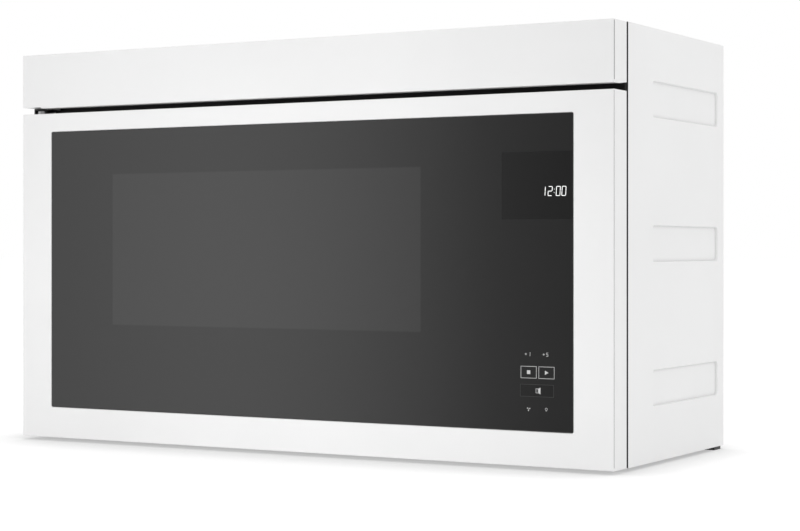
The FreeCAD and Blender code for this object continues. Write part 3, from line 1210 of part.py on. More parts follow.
def inner_pane():
    edge = PANE_LAP - FIT
    return slab_y(WINDOW_X0 - edge, WINDOW_X1 + edge, WINDOW_Z0 - edge, WINDOW_Z1 + edge,
                  LINER_Y0, LINER_Y0 + PANE_T, 7.5)


DISPLAY_W = 64.0
DISPLAY_H = 68.0
DISPLAY_T = 9.0
DISPLAY_PINS = 9
PIN_PITCH = 5.0
PIN_SIZE = 2.0


def display_module():
    """Display block behind the glass with a row of pins."""
    back = GLASS_BACK + DISPLAY_T
    body = box(DISPLAY_X - DISPLAY_W / 2, DISPLAY_X + DISPLAY_W / 2, GLASS_BACK, back,
               DISPLAY_Z - DISPLAY_H / 2, DISPLAY_Z + DISPLAY_H / 2)
    pins = []
    for i in range(DISPLAY_PINS):
        x = DISPLAY_X + (i - (DISPLAY_PINS - 1) / 2) * PIN_PITCH
        z = DISPLAY_Z - 0.28 * DISPLAY_H
        pins.append(box(x - PIN_SIZE / 2, x + PIN_SIZE / 2, back - 1, back + 2 * PIN_SIZE, z, z + PIN_SIZE))
    return joined([body] + pins)


TOUCH_W = 66.0
TOUCH_H = 84.0
SOCKET = (24.0, 6.4, 8.0)


def touch_board():
    """Touch board behind the keys with its cable socket."""
    back = GLASS_BACK + BOARD_T
    board = box(TOUCH_X - TOUCH_W / 2, TOUCH_X + TOUCH_W / 2, GLASS_BACK, back,
                TOUCH_Z - TOUCH_H / 2, TOUCH_Z + TOUCH_H / 2)
    width, out, height = SOCKET
    z = TOUCH_Z + TOUCH_H / 4
    socket = box(TOUCH_X - width / 2, TOUCH_X + width / 2, back, back + out, z, z + height)
    return joined([board, socket])


SCREW_R = 3.5
SCREW_H = 1.6
SCREW_SIDE = 24.0        # door screws from the side
BULKHEAD_SCREW_X = (-0.8, -0.26, 0.26, 0.8)      # shares of the half width


def screw_heads(places, direction):
    """Flat screw heads in a group."""
    heads = []
    for place in places:
        start = Vector(*place)
        heads.append(rod(SCREW_R, tuple(start), tuple(start + direction * SCREW_H)))
    return group(heads)


def door_screws():
    x = HALF - SCREW_SIDE
    y = DOOR_BACK - 0.5
    heights = (DOOR_Z0 + 55, (DOOR_Z0 + DOOR_Z1) / 2, DOOR_Z1 - 44)
    return screw_heads([(sx * x, y, z) for sx in (-1, 1) for z in heights], Vector(0, 1, 0))


def bulkhead_screws():
    places = [(share * HALF, BULK_Y0, z) for z in (BASE_Z1 + 12, ROOF_Z0 - 6) for share in BULKHEAD_SCREW_X]
    return screw_heads(places, Vector(0, -1, 0))


# ---------------------------------------------------------------- nodes
def nodes():
    made = {
        "case_wrap": wrap(),
        "back_panel": back_panel(),
        "base_plate": base_plate(),
        "bulkhead": bulkhead(),
        "bulkhead_screws": bulkhead_screws(),
        "oven_cavity": oven_cavity(),
        "ceramic_floor": ceramic_floor(),
        "waveguide": waveguide(),
        "antenna_motor": antenna_motor(),
        "rotating_antenna": antenna(),
        "magnetron": magnetron(),
        "high_voltage_transformer": transformer(),
        "high_voltage_capacitor": capacitor(),
        "control_board": control_board(),
        "line_filter": line_filter(),
        "cord_gland": cord_gland(),
        "cavity_lamp": cavity_lamp(),
        "blower_housing_left": blower_housing(-1),
        "blower_housing_right": blower_housing(1),
        "blower_motor": blower_motor(),
        "blower_wheel_left": blower_wheel(-1),
        "blower_wheel_right": blower_wheel(1),
        "blower_shaft": blower_shaft(),
        "exhaust_adaptor": exhaust_adaptor(),
        "damper_flap": damper_flap(),
        "charcoal_filter": charcoal_filter(),
        "vent_louvre": vent_louvre(),
        "vent_band": band(),
        "grease_filter_left": grease_filter(-1),
        "grease_filter_right": grease_filter(1),
        "lamp_lens_left": lamp_lens(-1),
        "lamp_lens_right": lamp_lens(1),
        "lamp_board_left": lamp_board(-1),
        "lamp_board_right": lamp_board(1),
        "fan_frame": fan_frame(),
        "fan_wheel": fan_wheel(),
        "hinge_upper": hinge_upper(),
        "hinge_lower": hinge_lower(),
        "latch_board": latch_board(),
        "interlock_switch_lower": interlock_switch(LATCH_Z[0]),
        "interlock_switch_upper": interlock_switch(LATCH_Z[1]),
        "switch_plunger_lower": plunger(LATCH_Z[0]),
        "switch_plunger_upper": plunger(LATCH_Z[1]),
        "door_opener": door_opener(),
        "opener_pusher": opener_pusher(),
        "door_frame": door_frame(),
        "door_glass": door_glass(),
        "door_liner": door_liner(),
        "choke_panel": choke_panel(),
        "window_screen": window_screen(),
        "inner_pane": inner_pane(),
        "display_module": display_module(),
        "touch_board": touch_board(),
        "door_bush_upper": door_bush_upper(),
        "door_bush_lower": door_bush_lower(),
        "latch_brackets": latch_brackets(),
        "latch_hook_lower": latch_hook(LATCH_Z[0]),
        "latch_hook_upper": latch_hook(LATCH_Z[1]),
        "latch_link": latch_link(),
        "door_screws": door_screws(),
    }
    return made


os.makedirs("parts", exist_ok=True)
for name, shape in nodes().items():
    print(f"{name:26s} solids {len(shape.Solids):2d}  faces {len(shape.Faces):4d}  "
          f"volume {shape.Volume / 1000:9.2f} cm3  valid {shape.isValid()}")
    shape.exportStep(f"parts/{name}.step")
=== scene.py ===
# %% [markdown]
# # A flush over-the-range microwave
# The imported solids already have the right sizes, so this lesson is about finish: white moulded
# plastic and enamelled sheet, a dark glass door with a printed border, a clock behind the glass and
# tiny printed key marks. The frame is loaded first, and nothing in it is ever moved.

# %% Load the frame
import math
import bmesh
import bpy
from mathutils import Matrix, Vector


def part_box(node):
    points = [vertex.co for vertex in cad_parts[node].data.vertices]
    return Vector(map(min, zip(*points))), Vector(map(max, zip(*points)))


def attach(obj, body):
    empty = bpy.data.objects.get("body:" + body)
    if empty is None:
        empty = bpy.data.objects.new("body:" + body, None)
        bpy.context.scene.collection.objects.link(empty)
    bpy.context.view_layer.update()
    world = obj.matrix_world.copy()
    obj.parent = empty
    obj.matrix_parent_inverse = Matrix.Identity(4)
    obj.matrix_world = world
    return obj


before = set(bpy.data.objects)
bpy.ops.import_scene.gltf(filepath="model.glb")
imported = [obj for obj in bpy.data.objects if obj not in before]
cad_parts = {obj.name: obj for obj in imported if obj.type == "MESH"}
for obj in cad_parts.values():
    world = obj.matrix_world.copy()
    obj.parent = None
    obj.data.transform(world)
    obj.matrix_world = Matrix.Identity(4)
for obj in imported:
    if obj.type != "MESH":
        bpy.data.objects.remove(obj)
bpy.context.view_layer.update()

# %% [markdown]
# ## Camera
# The lens and place come from the real width, depth and height of the object: with a level camera
# the upright edges stay upright, so the small vertical shift does what tilting would spoil.

# %% Camera
IMAGE_W = 800
IMAGE_H = 531
FOCAL_PX = 1956.1
SENSOR_MM = 36.0
HORIZON_ROW = 249.7
YAW_DEG = 29.806
CAMERA_PLACE = (1.1595, -1.9432, 0.22415)

camera_data = bpy.data.cameras.new("camera")
camera_data.sensor_width = SENSOR_MM
camera_data.lens = FOCAL_PX / IMAGE_W * SENSOR_MM
camera_data.shift_y = -(IMAGE_H / 2 - HORIZON_ROW) / IMAGE_W
camera_data.shift_x = 0.45 / IMAGE_W      # half a pixel, left over from the fit
camera = bpy.data.objects.new("camera", camera_data)
camera.location = CAMERA_PLACE
camera.rotation_euler = (math.radians(90), 0, math.radians(YAW_DEG))
bpy.context.collection.objects.link(camera)
bpy.context.scene.camera = camera
bpy.context.scene.view_settings.view_transform = "Standard"
print("lens", round(camera_data.lens, 2), "mm")


# %% [markdown]
# ## Helpers
# Meshes are built in bmesh, straight in metres. Each piece's object stays at the origin, and its
# place is in its mesh, as it is for the solids of the frame.

# %% Mesh helpers
def new_piece(name, bm, material, body):
    """Turn a bmesh into a piece that rides on a body."""
    mesh = bpy.data.meshes.new(name)
    bmesh.ops.recalc_face_normals(bm, faces=bm.faces)
    bm.to_mesh(mesh)
    bm.free()
    piece = bpy.data.objects.new(name, mesh)
    bpy.context.collection.objects.link(piece)
    piece.data.materials.append(material)
    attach(piece, body)
    return piece


def add_slab(bm, outline, y0, y1):
    """Add a closed plate: a flat (x, z) outline carried from y0 to y1."""
    front = [bm.verts.new((x, y0, z)) for x, z in outline]
    back = [bm.verts.new((x, y1, z)) for x, z in outline]
    bm.faces.new(front)
    bm.faces.new(list(reversed(back)))
    count = len(outline)
    for i in range(count):
        j = (i + 1) % count
        bm.faces.new((front[i], back[i], back[j], front[j]))


# %% Node helpers
def new_material(name):
    """An empty node material with a Principled shader joined to the output."""
    material = bpy.data.materials.new(name)
    material.use_nodes = True
    tree = material.node_tree
    shader = tree.nodes["Principled BSDF"]
    return material, tree, shader


def node(tree, kind, **inputs):
    """Add a node and set inputs by name, with _ for a space."""
    made = tree.nodes.new(kind)
    for key, value in inputs.items():
        made.inputs[key.replace("_", " ")].default_value = value
    return made


def object_coordinates(tree):
    return tree.nodes.new("ShaderNodeTexCoord").outputs["Object"]


def srgb(value):
    """A display value from 0 to 255 as scene light."""
    v = value / 255
    return v / 12.92 if v <= 0.04045 else ((v + 0.055) / 1.055) ** 2.4


def grey(value, tint=0.0):
    """A grey written as it should render, a little cooler with a positive tint."""
    return (srgb(value - tint), srgb(value), srgb(value + tint), 1.0)


# %% [markdown]
# ## Finishes
# Nothing real is one flat colour. Each finish below mixes two near tones by a slow noise, varies
# its roughness by a finer one, and adds a very shallow bump: orange peel on the moulded white,
# brushing on metal, tooth on black plastic. All patterns read Object coordinates.

# %% [markdown]
# Light reaches a groove less than an open face. An ambient occlusion node measures how shut in
# a point is, and a small part of that goes into the colour as painted shade, so seams and pressed
# lines stay readable under soft light. It depends on the shape alone, and looks the same from every
# side.

# %% Painted shade in creases
CREASE_SHADE_REACH = 0.004     # how near another wall must be, metres


def painted_crease_shade(tree, colour, amount):
    """Multiply a colour down where a wall stands close by, as painted shade."""
    if not amount:
        return colour
    shut_in = node(tree, "ShaderNodeAmbientOcclusion", Distance=CREASE_SHADE_REACH)
    shut_in.samples = 12
    shade = node(tree, "ShaderNodeMapRange", From_Min=0.25, From_Max=0.97, To_Min=1.0 - amount)
    tree.links.new(shut_in.outputs["AO"], shade.inputs["Value"])
    mix = tree.nodes.new("ShaderNodeMix")
    mix.data_type = "RGBA"
    mix.blend_type = "MULTIPLY"
    mix.inputs["Factor"].default_value = 1.0
    tree.links.new(colour, mix.inputs["A"])
    tree.links.new(shade.outputs["Result"], mix.inputs["B"])
    return mix.outputs["Result"]


# %% One recipe for painted and moulded surfaces
def finish(name, dark, light, roughness, spread=0.06, grain=900.0, bump=0.02, metallic=0.0,
           patch=6.0, stretch=(1, 1, 1), coat=0.0, crease_shade=0.0):
    """A two-tone finish with uneven roughness, a fine bump and painted shade in its creases."""
    material, tree, shader = new_material(name)
    shader.inputs["Metallic"].default_value = metallic
    shader.inputs["Coat Weight"].default_value = coat
    shader.inputs["Coat Roughness"].default_value = 0.12
    mapping = node(tree, "ShaderNodeMapping", Scale=stretch)
    tree.links.new(object_coordinates(tree), mapping.inputs["Vector"])
    slow = node(tree, "ShaderNodeTexNoise", Scale=patch, Detail=3.0)
    fine = node(tree, "ShaderNodeTexNoise", Scale=grain, Detail=2.0)
    for noise in (slow, fine):
        tree.links.new(mapping.outputs["Vector"], noise.inputs["Vector"])
    tones = tree.nodes.new("ShaderNodeValToRGB")
    tones.color_ramp.elements[0].position = 0.35
    tones.color_ramp.elements[1].position = 0.65
    tones.color_ramp.elements[0].color = dark
    tones.color_ramp.elements[1].color = light
    tree.links.new(slow.outputs["Fac"], tones.inputs["Fac"])
    tree.links.new(painted_crease_shade(tree, tones.outputs["Color"], crease_shade), shader.inputs["Base Color"])
    gloss = node(tree, "ShaderNodeMapRange", To_Min=roughness - spread, To_Max=roughness + spread)
    tree.links.new(fine.outputs["Fac"], gloss.inputs["Value"])
    tree.links.new(gloss.outputs["Result"], shader.inputs["Roughness"])
    relief = node(tree, "ShaderNodeBump", Strength=bump, Distance=0.0002)
    tree.links.new(fine.outputs["Fac"], relief.inputs["Height"])
    tree.links.new(relief.outputs["Normal"], shader.inputs["Normal"])
    print("finish", name)
    return material


# %% The plain finishes
# crease_shade: how much painted shade the creases of a finish get
white_moulding = finish("moulded white", grey(236), grey(238), 0.2, grain=1500, bump=0.02, coat=0.1,
                        crease_shade=0.75)
white_moulding.node_tree.nodes["Principled BSDF"].inputs["Specular IOR Level"].default_value = 0.3
white_sheet = finish("enamelled white sheet", grey(237), grey(239), 0.42, grain=1100, bump=0.05,
                     crease_shade=0.45)
black_plastic = finish("black plastic", grey(22), grey(30), 0.55, grain=2200, bump=0.15)
black_paint = finish("black painted sheet", grey(26), grey(33), 0.45, grain=1600, bump=0.1)
screen_paint = finish("grey screen enamel", grey(64), grey(72), 0.4, grain=1800, bump=0.05)
cavity_grey = finish("grey cavity enamel", grey(150), grey(160), 0.3, grain=1300, bump=0.05)
ceramic_white = finish("ceramic floor", grey(212), grey(222), 0.18, grain=700, bump=0.02)
zinc = finish("zinc plated steel", grey(180), grey(190), 0.36, metallic=1.0, patch=40, grain=1400)
galvanised = finish("galvanised sheet", grey(180), grey(190), 0.4, metallic=1.0, patch=12, grain=900)
brushed = finish("rolled aluminium", grey(188), grey(206), 0.38, metallic=1.0, patch=30, grain=900,
                 stretch=(1, 14, 1))
nylon = finish("natural nylon", grey(218), grey(228), 0.5, grain=1500, bump=0.05)

# %% [markdown]
# The case is pre-painted sheet, so its cut front edges are bare. A mask on the height along
# Y lays a dark tone over the first fraction of a millimetre only. The edge is bare metal, and its
# tone is darker than bare metal as painted shade in the seam behind the door.

# %% Bare cut edges with painted seam shade
def cut_edge_with_seam_shade(material, edge_y, tone):
    """Mix a dark tone, bare edge and painted seam shade, into a finish where Y is in front of edge_y.
    """
    tree = material.node_tree
    shader = tree.nodes["Principled BSDF"]
    painted = shader.inputs["Base Color"].links[0].from_socket
    split = tree.nodes.new("ShaderNodeSeparateXYZ")
    tree.links.new(object_coordinates(tree), split.inputs["Vector"])
    front = tree.nodes.new("ShaderNodeMath")
    front.operation = "LESS_THAN"
    front.inputs[1].default_value = edge_y
    tree.links.new(split.outputs["Y"], front.inputs[0])
    mix = tree.nodes.new("ShaderNodeMix")
    mix.data_type = "RGBA"
    mix.inputs["B"].default_value = grey(tone)
    tree.links.new(painted, mix.inputs["A"])
    tree.links.new(front.outputs[0], mix.inputs["Factor"])
    tree.links.new(mix.outputs["Result"], shader.inputs["Base Color"])


CUT_EDGE = 0.00015       # how far back the bare edge shows, metres
# the edge's tone: bare metal, darkened as painted shade in the seam
CUT_EDGE_SHADE_TONE = 60
cut_edge_with_seam_shade(white_sheet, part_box("case_wrap")[0][1] + CUT_EDGE, CUT_EDGE_SHADE_TONE)
print("bare edge on", white_sheet.name)

# %% [markdown]
# Hot-dipped sheet shows its zinc as flat crystals a centimetre across, each a little lighter or
# darker than the next. Voronoi cells are that pattern, and a brushed metal would hide it.

# %% Zinc crystals
def crystals(material, cells_per_metre, darkest):
    """Multiply a finish by a tone that is random from cell to cell."""
    tree = material.node_tree
    shader = tree.nodes["Principled BSDF"]
    plain = shader.inputs["Base Color"].links[0].from_socket
    cells = node(tree, "ShaderNodeTexVoronoi", Scale=cells_per_metre)
    tree.links.new(object_coordinates(tree), cells.inputs["Vector"])
    split = tree.nodes.new("ShaderNodeSeparateColor")
    tree.links.new(cells.outputs["Color"], split.inputs["Color"])
    tone = node(tree, "ShaderNodeMapRange", To_Min=darkest)
    tree.links.new(split.outputs["Red"], tone.inputs["Value"])
    mix = tree.nodes.new("ShaderNodeMix")
    mix.data_type = "RGBA"
    mix.blend_type = "MULTIPLY"
    mix.inputs["Factor"].default_value = 1.0
    tree.links.new(plain, mix.inputs["A"])
    tree.links.new(tone.outputs["Result"], mix.inputs["B"])
    tree.links.new(mix.outputs["Result"], shader.inputs["Base Color"])


CRYSTALS_PER_METRE = 90
DARKEST_CRYSTAL = 0.86
crystals(galvanised, CRYSTALS_PER_METRE, DARKEST_CRYSTAL)
print("crystals on", galvanised.name)

# %% [markdown]
# ## Door glass
# The real door is one sheet of tinted glass with a dark border printed behind it. The window is left
# clearer, so it looks a shade lighter than the border, and the display area is a shade darker. One
# glossy material does it: a soft-edged rectangle for each area, worked out from Object coordinates,
# picks the tone. Reflections of the pale room then give the slow change across the sheet.

# %% Glass material
WINDOW = (-0.2459, 0.1600, 0.1380, 0.3110)      # x from, x to, z from, z to
DISPLAY = (0.2550, 0.3360, 0.2550, 0.3237)
OPEN_KEY = (0.2761, 0.3138, 0.0750, 0.0875)


def soft_rectangle(tree, position, area, softness):
    """1 inside an (x0, x1, z0, z1) area and 0 outside it, as a node output."""
    x0, x1, z0, z1 = area
    split = tree.nodes.new("ShaderNodeSeparateXYZ")
    tree.links.new(position, split.inputs["Vector"])
    product = None
    for axis, low, high in (("X", x0, x1), ("Z", z0, z1)):
        middle, half = (low + high) / 2, (high - low) / 2
        shift = tree.nodes.new("ShaderNodeMath")
        shift.operation = "SUBTRACT"
        shift.inputs[1].default_value = middle
        tree.links.new(split.outputs[axis], shift.inputs[0])
        away = tree.nodes.new("ShaderNodeMath")
        away.operation = "ABSOLUTE"
        tree.links.new(shift.outputs[0], away.inputs[0])
        inside = tree.nodes.new("ShaderNodeMapRange")
        inside.interpolation_type = "SMOOTHSTEP"
        inside.inputs["From Min"].default_value = half - softness
        inside.inputs["From Max"].default_value = half + softness
        inside.inputs["To Min"].default_value = 1.0
        inside.inputs["To Max"].default_value = 0.0
        tree.links.new(away.outputs[0], inside.inputs["Value"])
        if product is None:
            product = inside.outputs["Result"]
        else:
            both = tree.nodes.new("ShaderNodeMath")
            both.operation = "MULTIPLY"
            tree.links.new(product, both.inputs[0])
            tree.links.new(inside.outputs["Result"], both.inputs[1])
            product = both.outputs[0]
    return product


def blend_tone(tree, below, above_value, factor, strength=1.0):
    """Lay a grey over a colour where factor is 1."""
    mix = tree.nodes.new("ShaderNodeMix")
    mix.data_type = "RGBA"
    mix.inputs["B"].default_value = grey(above_value)
    if isinstance(below, (int, float)):
        mix.inputs["A"].default_value = grey(below)
    else:
        tree.links.new(below, mix.inputs["A"])
    scaled = tree.nodes.new("ShaderNodeMath")
    scaled.operation = "MULTIPLY"
    scaled.inputs[1].default_value = strength
    tree.links.new(factor, scaled.inputs[0])
    tree.links.new(scaled.outputs[0], mix.inputs["Factor"])
    return mix.outputs["Result"]


GLASS_BORDER = 36
GLASS_WINDOW = 48
GLASS_DISPLAY = 27


def make_glass():
    material, tree, shader = new_material("tinted door glass")
    place = object_coordinates(tree)
    tone = blend_tone(tree, GLASS_BORDER, GLASS_WINDOW, soft_rectangle(tree, place, WINDOW, 0.0012))
    tone = blend_tone(tree, tone, GLASS_DISPLAY, soft_rectangle(tree, place, DISPLAY, 0.0008))
    tone = blend_tone(tree, tone, GLASS_BORDER - 4, soft_rectangle(tree, place, OPEN_KEY, 0.0003))
    tree.links.new(tone, shader.inputs["Base Color"])
    waver = node(tree, "ShaderNodeTexNoise", Scale=3.0, Detail=1.0)
    tree.links.new(place, waver.inputs["Vector"])
    gloss = node(tree, "ShaderNodeMapRange", To_Min=0.055, To_Max=0.09)
    tree.links.new(waver.outputs["Fac"], gloss.inputs["Value"])
    tree.links.new(gloss.outputs["Result"], shader.inputs["Roughness"])
    return material


door_glass = make_glass()
print("glass tones:", GLASS_BORDER, GLASS_WINDOW, GLASS_DISPLAY)

# %% [markdown]
# The pane on the cavity side, the lamp's bulb and the cooktop lenses are clear. A little unevenness
# in their roughness is what wiping leaves on glass.

# %% Clear glass
def make_clear_glass():
    material, tree, shader = new_material("clear glass")
    shader.inputs["Transmission Weight"].default_value = 1.0
    shader.inputs["Base Color"].default_value = grey(225)
    smear = node(tree, "ShaderNodeTexNoise", Scale=260.0)
    tree.links.new(object_coordinates(tree), smear.inputs["Vector"])
    gloss = node(tree, "ShaderNodeMapRange", To_Min=0.015, To_Max=0.045)
    tree.links.new(smear.outputs["Fac"], gloss.inputs["Value"])
    tree.links.new(gloss.outputs["Result"], shader.inputs["Roughness"])
    return material


clear_glass = make_clear_glass()
print("made", clear_glass.name)



# %% [markdown]
# ## Inks
# The marks are printed in thick pale ink, and the clock's segments give light of their own. A fine
# speck in the ink keeps it from being one flat colour.

# %% Printed marks and lit segments
def ink(name, value, glow=0.0):
    """Light ink with a faint unevenness, or a lit segment when it glows."""
    material, tree, shader = new_material(name)
    speck = node(tree, "ShaderNodeTexNoise", Scale=2500.0)
    tree.links.new(object_coordinates(tree), speck.inputs["Vector"])
    tones = tree.nodes.new("ShaderNodeValToRGB")
    tones.color_ramp.elements[0].color = grey(value - 8)
    tones.color_ramp.elements[1].color = grey(value)
    tree.links.new(speck.outputs["Fac"], tones.inputs["Fac"])
    tree.links.new(tones.outputs["Color"], shader.inputs["Base Color"])
    shader.inputs["Roughness"].default_value = 0.5
    if glow:
        shader.inputs["Emission Color"].default_value = grey(value)
        shader.inputs["Emission Strength"].default_value = glow
    return material


lit_white = ink("lit segments", 245, 0.75)
print_white = ink("printed marks", 205)
print_dim = ink("faint printed outline", 66)
print("inks:", lit_white.name, print_white.name, print_dim.name)

# %% [markdown]
# ## Dressing the solids
# Each solid gets the finish of what it is made of. Its mesh and place are left alone.

# %% Which solid is made of what
DRESS = {
    white_sheet: ["case_wrap"],
    white_moulding: ["vent_band", "door_frame"],
    black_plastic: ["vent_louvre", "door_liner", "latch_board", "interlock_switch_lower",
                    "interlock_switch_upper", "door_opener", "cord_gland", "display_module",
                    "fan_frame", "fan_wheel", "charcoal_filter"],
    black_paint: ["bulkhead", "base_plate", "choke_panel"],
    screen_paint: ["window_screen"],
    galvanised: ["back_panel", "waveguide", "blower_housing_left", "blower_housing_right",
                 "exhaust_adaptor", "damper_flap"],
    zinc: ["blower_shaft", "latch_brackets", "hinge_upper",
           "hinge_lower", "door_bush_upper", "door_bush_lower", "bulkhead_screws", "door_screws",
           "antenna_motor", "blower_motor", "high_voltage_transformer"],
    cavity_grey: ["oven_cavity"],
    ceramic_white: ["ceramic_floor"],
    brushed: ["rotating_antenna", "magnetron", "high_voltage_capacitor", "grease_filter_left",
              "grease_filter_right"],
    nylon: ["blower_wheel_left", "blower_wheel_right", "latch_hook_lower", "latch_hook_upper",
            "latch_link", "opener_pusher", "switch_plunger_lower", "switch_plunger_upper"],
    door_glass: ["door_glass"],
    clear_glass: ["inner_pane", "lamp_lens_left", "lamp_lens_right", "cavity_lamp"],
}
BOARD_GREEN = finish("circuit board", (0.02, 0.09, 0.035, 1), (0.03, 0.12, 0.05, 1), 0.4, patch=80)
DRESS[BOARD_GREEN] = ["control_board", "line_filter", "lamp_board_left", "lamp_board_right",
                      "touch_board"]


def dress(name, material):
    slots = bpy.data.objects[name].material_slots
    for slot in slots:
        slot.material = material


for material, names in DRESS.items():
    for name in names:
        dress(name, material)
dressed = {name for names in DRESS.values() for name in names}
print("undressed:", sorted(set(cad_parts) - dressed))

# %% [markdown]
# ## The clock
# Seven slanted bars make each digit. The bars are thin closed plates that stand a few hundredths of
# a millimetre proud of the glass, so they print cleanly and still lie inside the door's own depth.

# %% Seven-segment digits
GLASS_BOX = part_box("door_glass")
GLASS_Y = GLASS_BOX[0][1]
PROUD = 0.00008
DIGIT_H = 0.0093
DIGIT_W = 0.0043
BAR = 0.00055
SLANT = 0.06
SEGMENTS = {"0": "abcdef", "1": "bc", "2": "abged", "3": "abgcd", "4": "fgbc",
            "5": "afgcd", "6": "afgedc", "7": "abc", "8": "abcdefg", "9": "abcdfg"}


def bar_outline(x0, z0, x1, z1):
    """A straight bar with pointed ends between two points."""
    along = Vector((x1 - x0, z1 - z0)).normalized()
    across = Vector((-along.y, along.x)) * BAR / 2
    a = Vector((x0, z0)) + along * BAR * 0.15
    b = Vector((x1, z1)) - along * BAR * 0.15
    tip = along * BAR / 2
    return [a, a + tip - across, b - tip - across, b, b - tip + across, a + tip + across]


def segment_ends(w, h):
    """The two ends of each of the seven segments of a digit w wide and h high."""
    return {"a": (0, h, w, h), "b": (w, h / 2, w, h), "c": (w, 0, w, h / 2), "d": (0, 0, w, 0),
            "e": (0, 0, 0, h / 2), "f": (0, h / 2, 0, h), "g": (0, h / 2, w, h / 2)}


def digit_bars(char, left, bottom):
    """The slanted bar outlines of one digit."""
    ends = segment_ends(DIGIT_W, DIGIT_H)
    for segment in SEGMENTS[char]:
        outline = bar_outline(*ends[segment])
        yield [(left + p.x + SLANT * p.y, bottom + p.y) for p in outline]


def printed(name, outlines, material):
    """Thin plates on the door glass, one piece."""
    bm = bmesh.new()
    for outline in outlines:
        add_slab(bm, outline, GLASS_Y - PROUD, GLASS_Y + 0.0001)
    print(name, len(outlines), "plates")
    return new_piece(name, bm, material, "door")


def rectangle(x0, x1, z0, z1):
    return [(x0, z0), (x1, z0), (x1, z1), (x0, z1)]


# %% The clock's digits and colon
CLOCK_X = 0.3033
CLOCK_Z = 0.2787
CLOCK_STEPS = (-0.0036, 0.0041, 0.0131, 0.0194)     # where each digit starts
COLON_STEP = 0.0105
COLON_HEIGHTS = (0.3, 0.68)                         # shares of a digit's height
outlines = []
for char, step in zip("1200", CLOCK_STEPS):
    outlines += digit_bars(char, CLOCK_X + step, CLOCK_Z)
for share in COLON_HEIGHTS:
    rise = DIGIT_H * share
    x = CLOCK_X + COLON_STEP + SLANT * rise
    outlines.append(rectangle(x, x + BAR, CLOCK_Z + rise, CLOCK_Z + rise + BAR))
printed("clock_digits", outlines, lit_white)

# %% [markdown]
# ## Key marks
# The keys are plain touch areas, so only their marks show: two plus signs with a number, a stop
# square and a start triangle in outlined keys, a door that stands open, a fan and a lamp.


# %% Key marks
def outline_frame(x0, x1, z0, z1, line):
    """Four thin bars round a rectangle."""
    low, high = z0 + line, z1 - line
    return [rectangle(x0, x1, z0, low), rectangle(x0, x1, high, z1),
            rectangle(x0, x0 + line, low, high), rectangle(x1 - line, x1, low, high)]


def plus_number(char, x, z, height=0.0034, line=0.0005, arm=0.0011, gap=0.0032):
    """A plus sign and a small upright number, made of thin bars."""
    half = line / 2
    plus = x - gap
    marks = [rectangle(plus - arm, plus + arm, z - half, z + half),
             rectangle(plus - half, plus + half, z + half, z + arm),
             rectangle(plus - half, plus + half, z - arm, z - half)]
    left = x - 0.0002
    low = z - height / 2
    ends = segment_ends(height * 0.5, height)
    for segment in SEGMENTS[char]:
        x0, z0, x1, z1 = ends[segment]
        marks.append(rectangle(left + min(x0, x1) - half, left + max(x0, x1) + half,
                               low + min(z0, z1) - half, low + max(z0, z1) + half))
    return marks


def ring(x, z, radius, line, sides=24, start=0.0, sweep=1.0):
    """Short plates round a circle or an arc."""
    parts = []
    for i in range(sides):
        a0 = 2 * math.pi * (start + sweep * i / sides)
        a1 = 2 * math.pi * (start + sweep * (i + 1) / sides)
        inner = radius - line
        corners = ((radius, a0), (radius, a1), (inner, a1), (inner, a0))
        parts.append([(x + r * math.cos(a), z + r * math.sin(a)) for r, a in corners])
    return parts


# %% Time, stop and start keys
KEY_LINE = 0.00045
TIME_KEYS = (("1", 0.2858), ("5", 0.3059))
TIME_KEY_Z = 0.1181
STOP_KEY = (0.2768, 0.2946, 0.0936, 0.1059)         # x from, x to, z from, z to
START_KEY = (0.2969, 0.3146, 0.0935, 0.1058)
STOP_SQUARE = (0.2838, 0.2876, 0.0979, 0.1017)
START_TRIANGLE = [(0.3040, 0.0975), (0.3080, 0.0997), (0.3040, 0.1019)]

marks = []
for char, x in TIME_KEYS:
    marks += plus_number(char, x, TIME_KEY_Z)
marks += outline_frame(*STOP_KEY, KEY_LINE) + outline_frame(*START_KEY, KEY_LINE)
marks += [rectangle(*STOP_SQUARE), START_TRIANGLE]
printed("key_marks_main", marks, print_white)

# %% Door, fan and lamp keys
DOORWAY = (0.2938, 0.2966, 0.0788, 0.0834)
DOOR_LEAF = [(0.2968, 0.0788), (0.2990, 0.0776), (0.2990, 0.0846), (0.2968, 0.0834)]
FAN_PLACE = (0.2857, 0.0624)
FAN_BLADE = [(0.0002, -0.0001), (0.0014, -0.0008), (0.0023, 0.0), (0.0014, 0.0005)]
FAN_TURN = 0.08                                     # of a full turn
LAMP_PLACE = (0.3055, 0.0628)
LAMP_RADIUS = 0.0014
LAMP_BASE = (0.3048, 0.3062, 0.0609, 0.0612)
LAMP_BASE_STEP = 0.0006

small_marks = outline_frame(*DOORWAY, 0.0004) + [DOOR_LEAF]
for i in range(3):
    angle = 2 * math.pi * (i / 3 + FAN_TURN)
    c, s = math.cos(angle), math.sin(angle)
    small_marks.append([(FAN_PLACE[0] + u * c - v * s, FAN_PLACE[1] + u * s + v * c)
                        for u, v in FAN_BLADE])
small_marks += ring(*LAMP_PLACE, LAMP_RADIUS, 0.0004, 20, -0.18, 0.86)
x0, x1, z0, z1 = LAMP_BASE
for lift in (0, LAMP_BASE_STEP):
    small_marks.append(rectangle(x0, x1, z0 + lift, z1 + lift))
printed("key_marks_small", small_marks, print_white)
printed("open_key_outline", outline_frame(*OPEN_KEY, 0.0003), print_dim)

# %% [markdown]
# ## Repeats
# Three things repeat on this object: the holes of the pierced sheet behind the window, the wires of
# the expanded metal in the grease filters, and the cross recesses of the screws. Each is a rule, so
# each is a Geometry Nodes tree with its sizes as named inputs. The evaluated result is copied to a
# plain mesh, so the piece that rides on a body carries no modifier.

# %% Helpers for node trees
FLOAT, VECTOR, MATERIAL = "NodeSocketFloat", "NodeSocketVector", "NodeSocketMaterial"


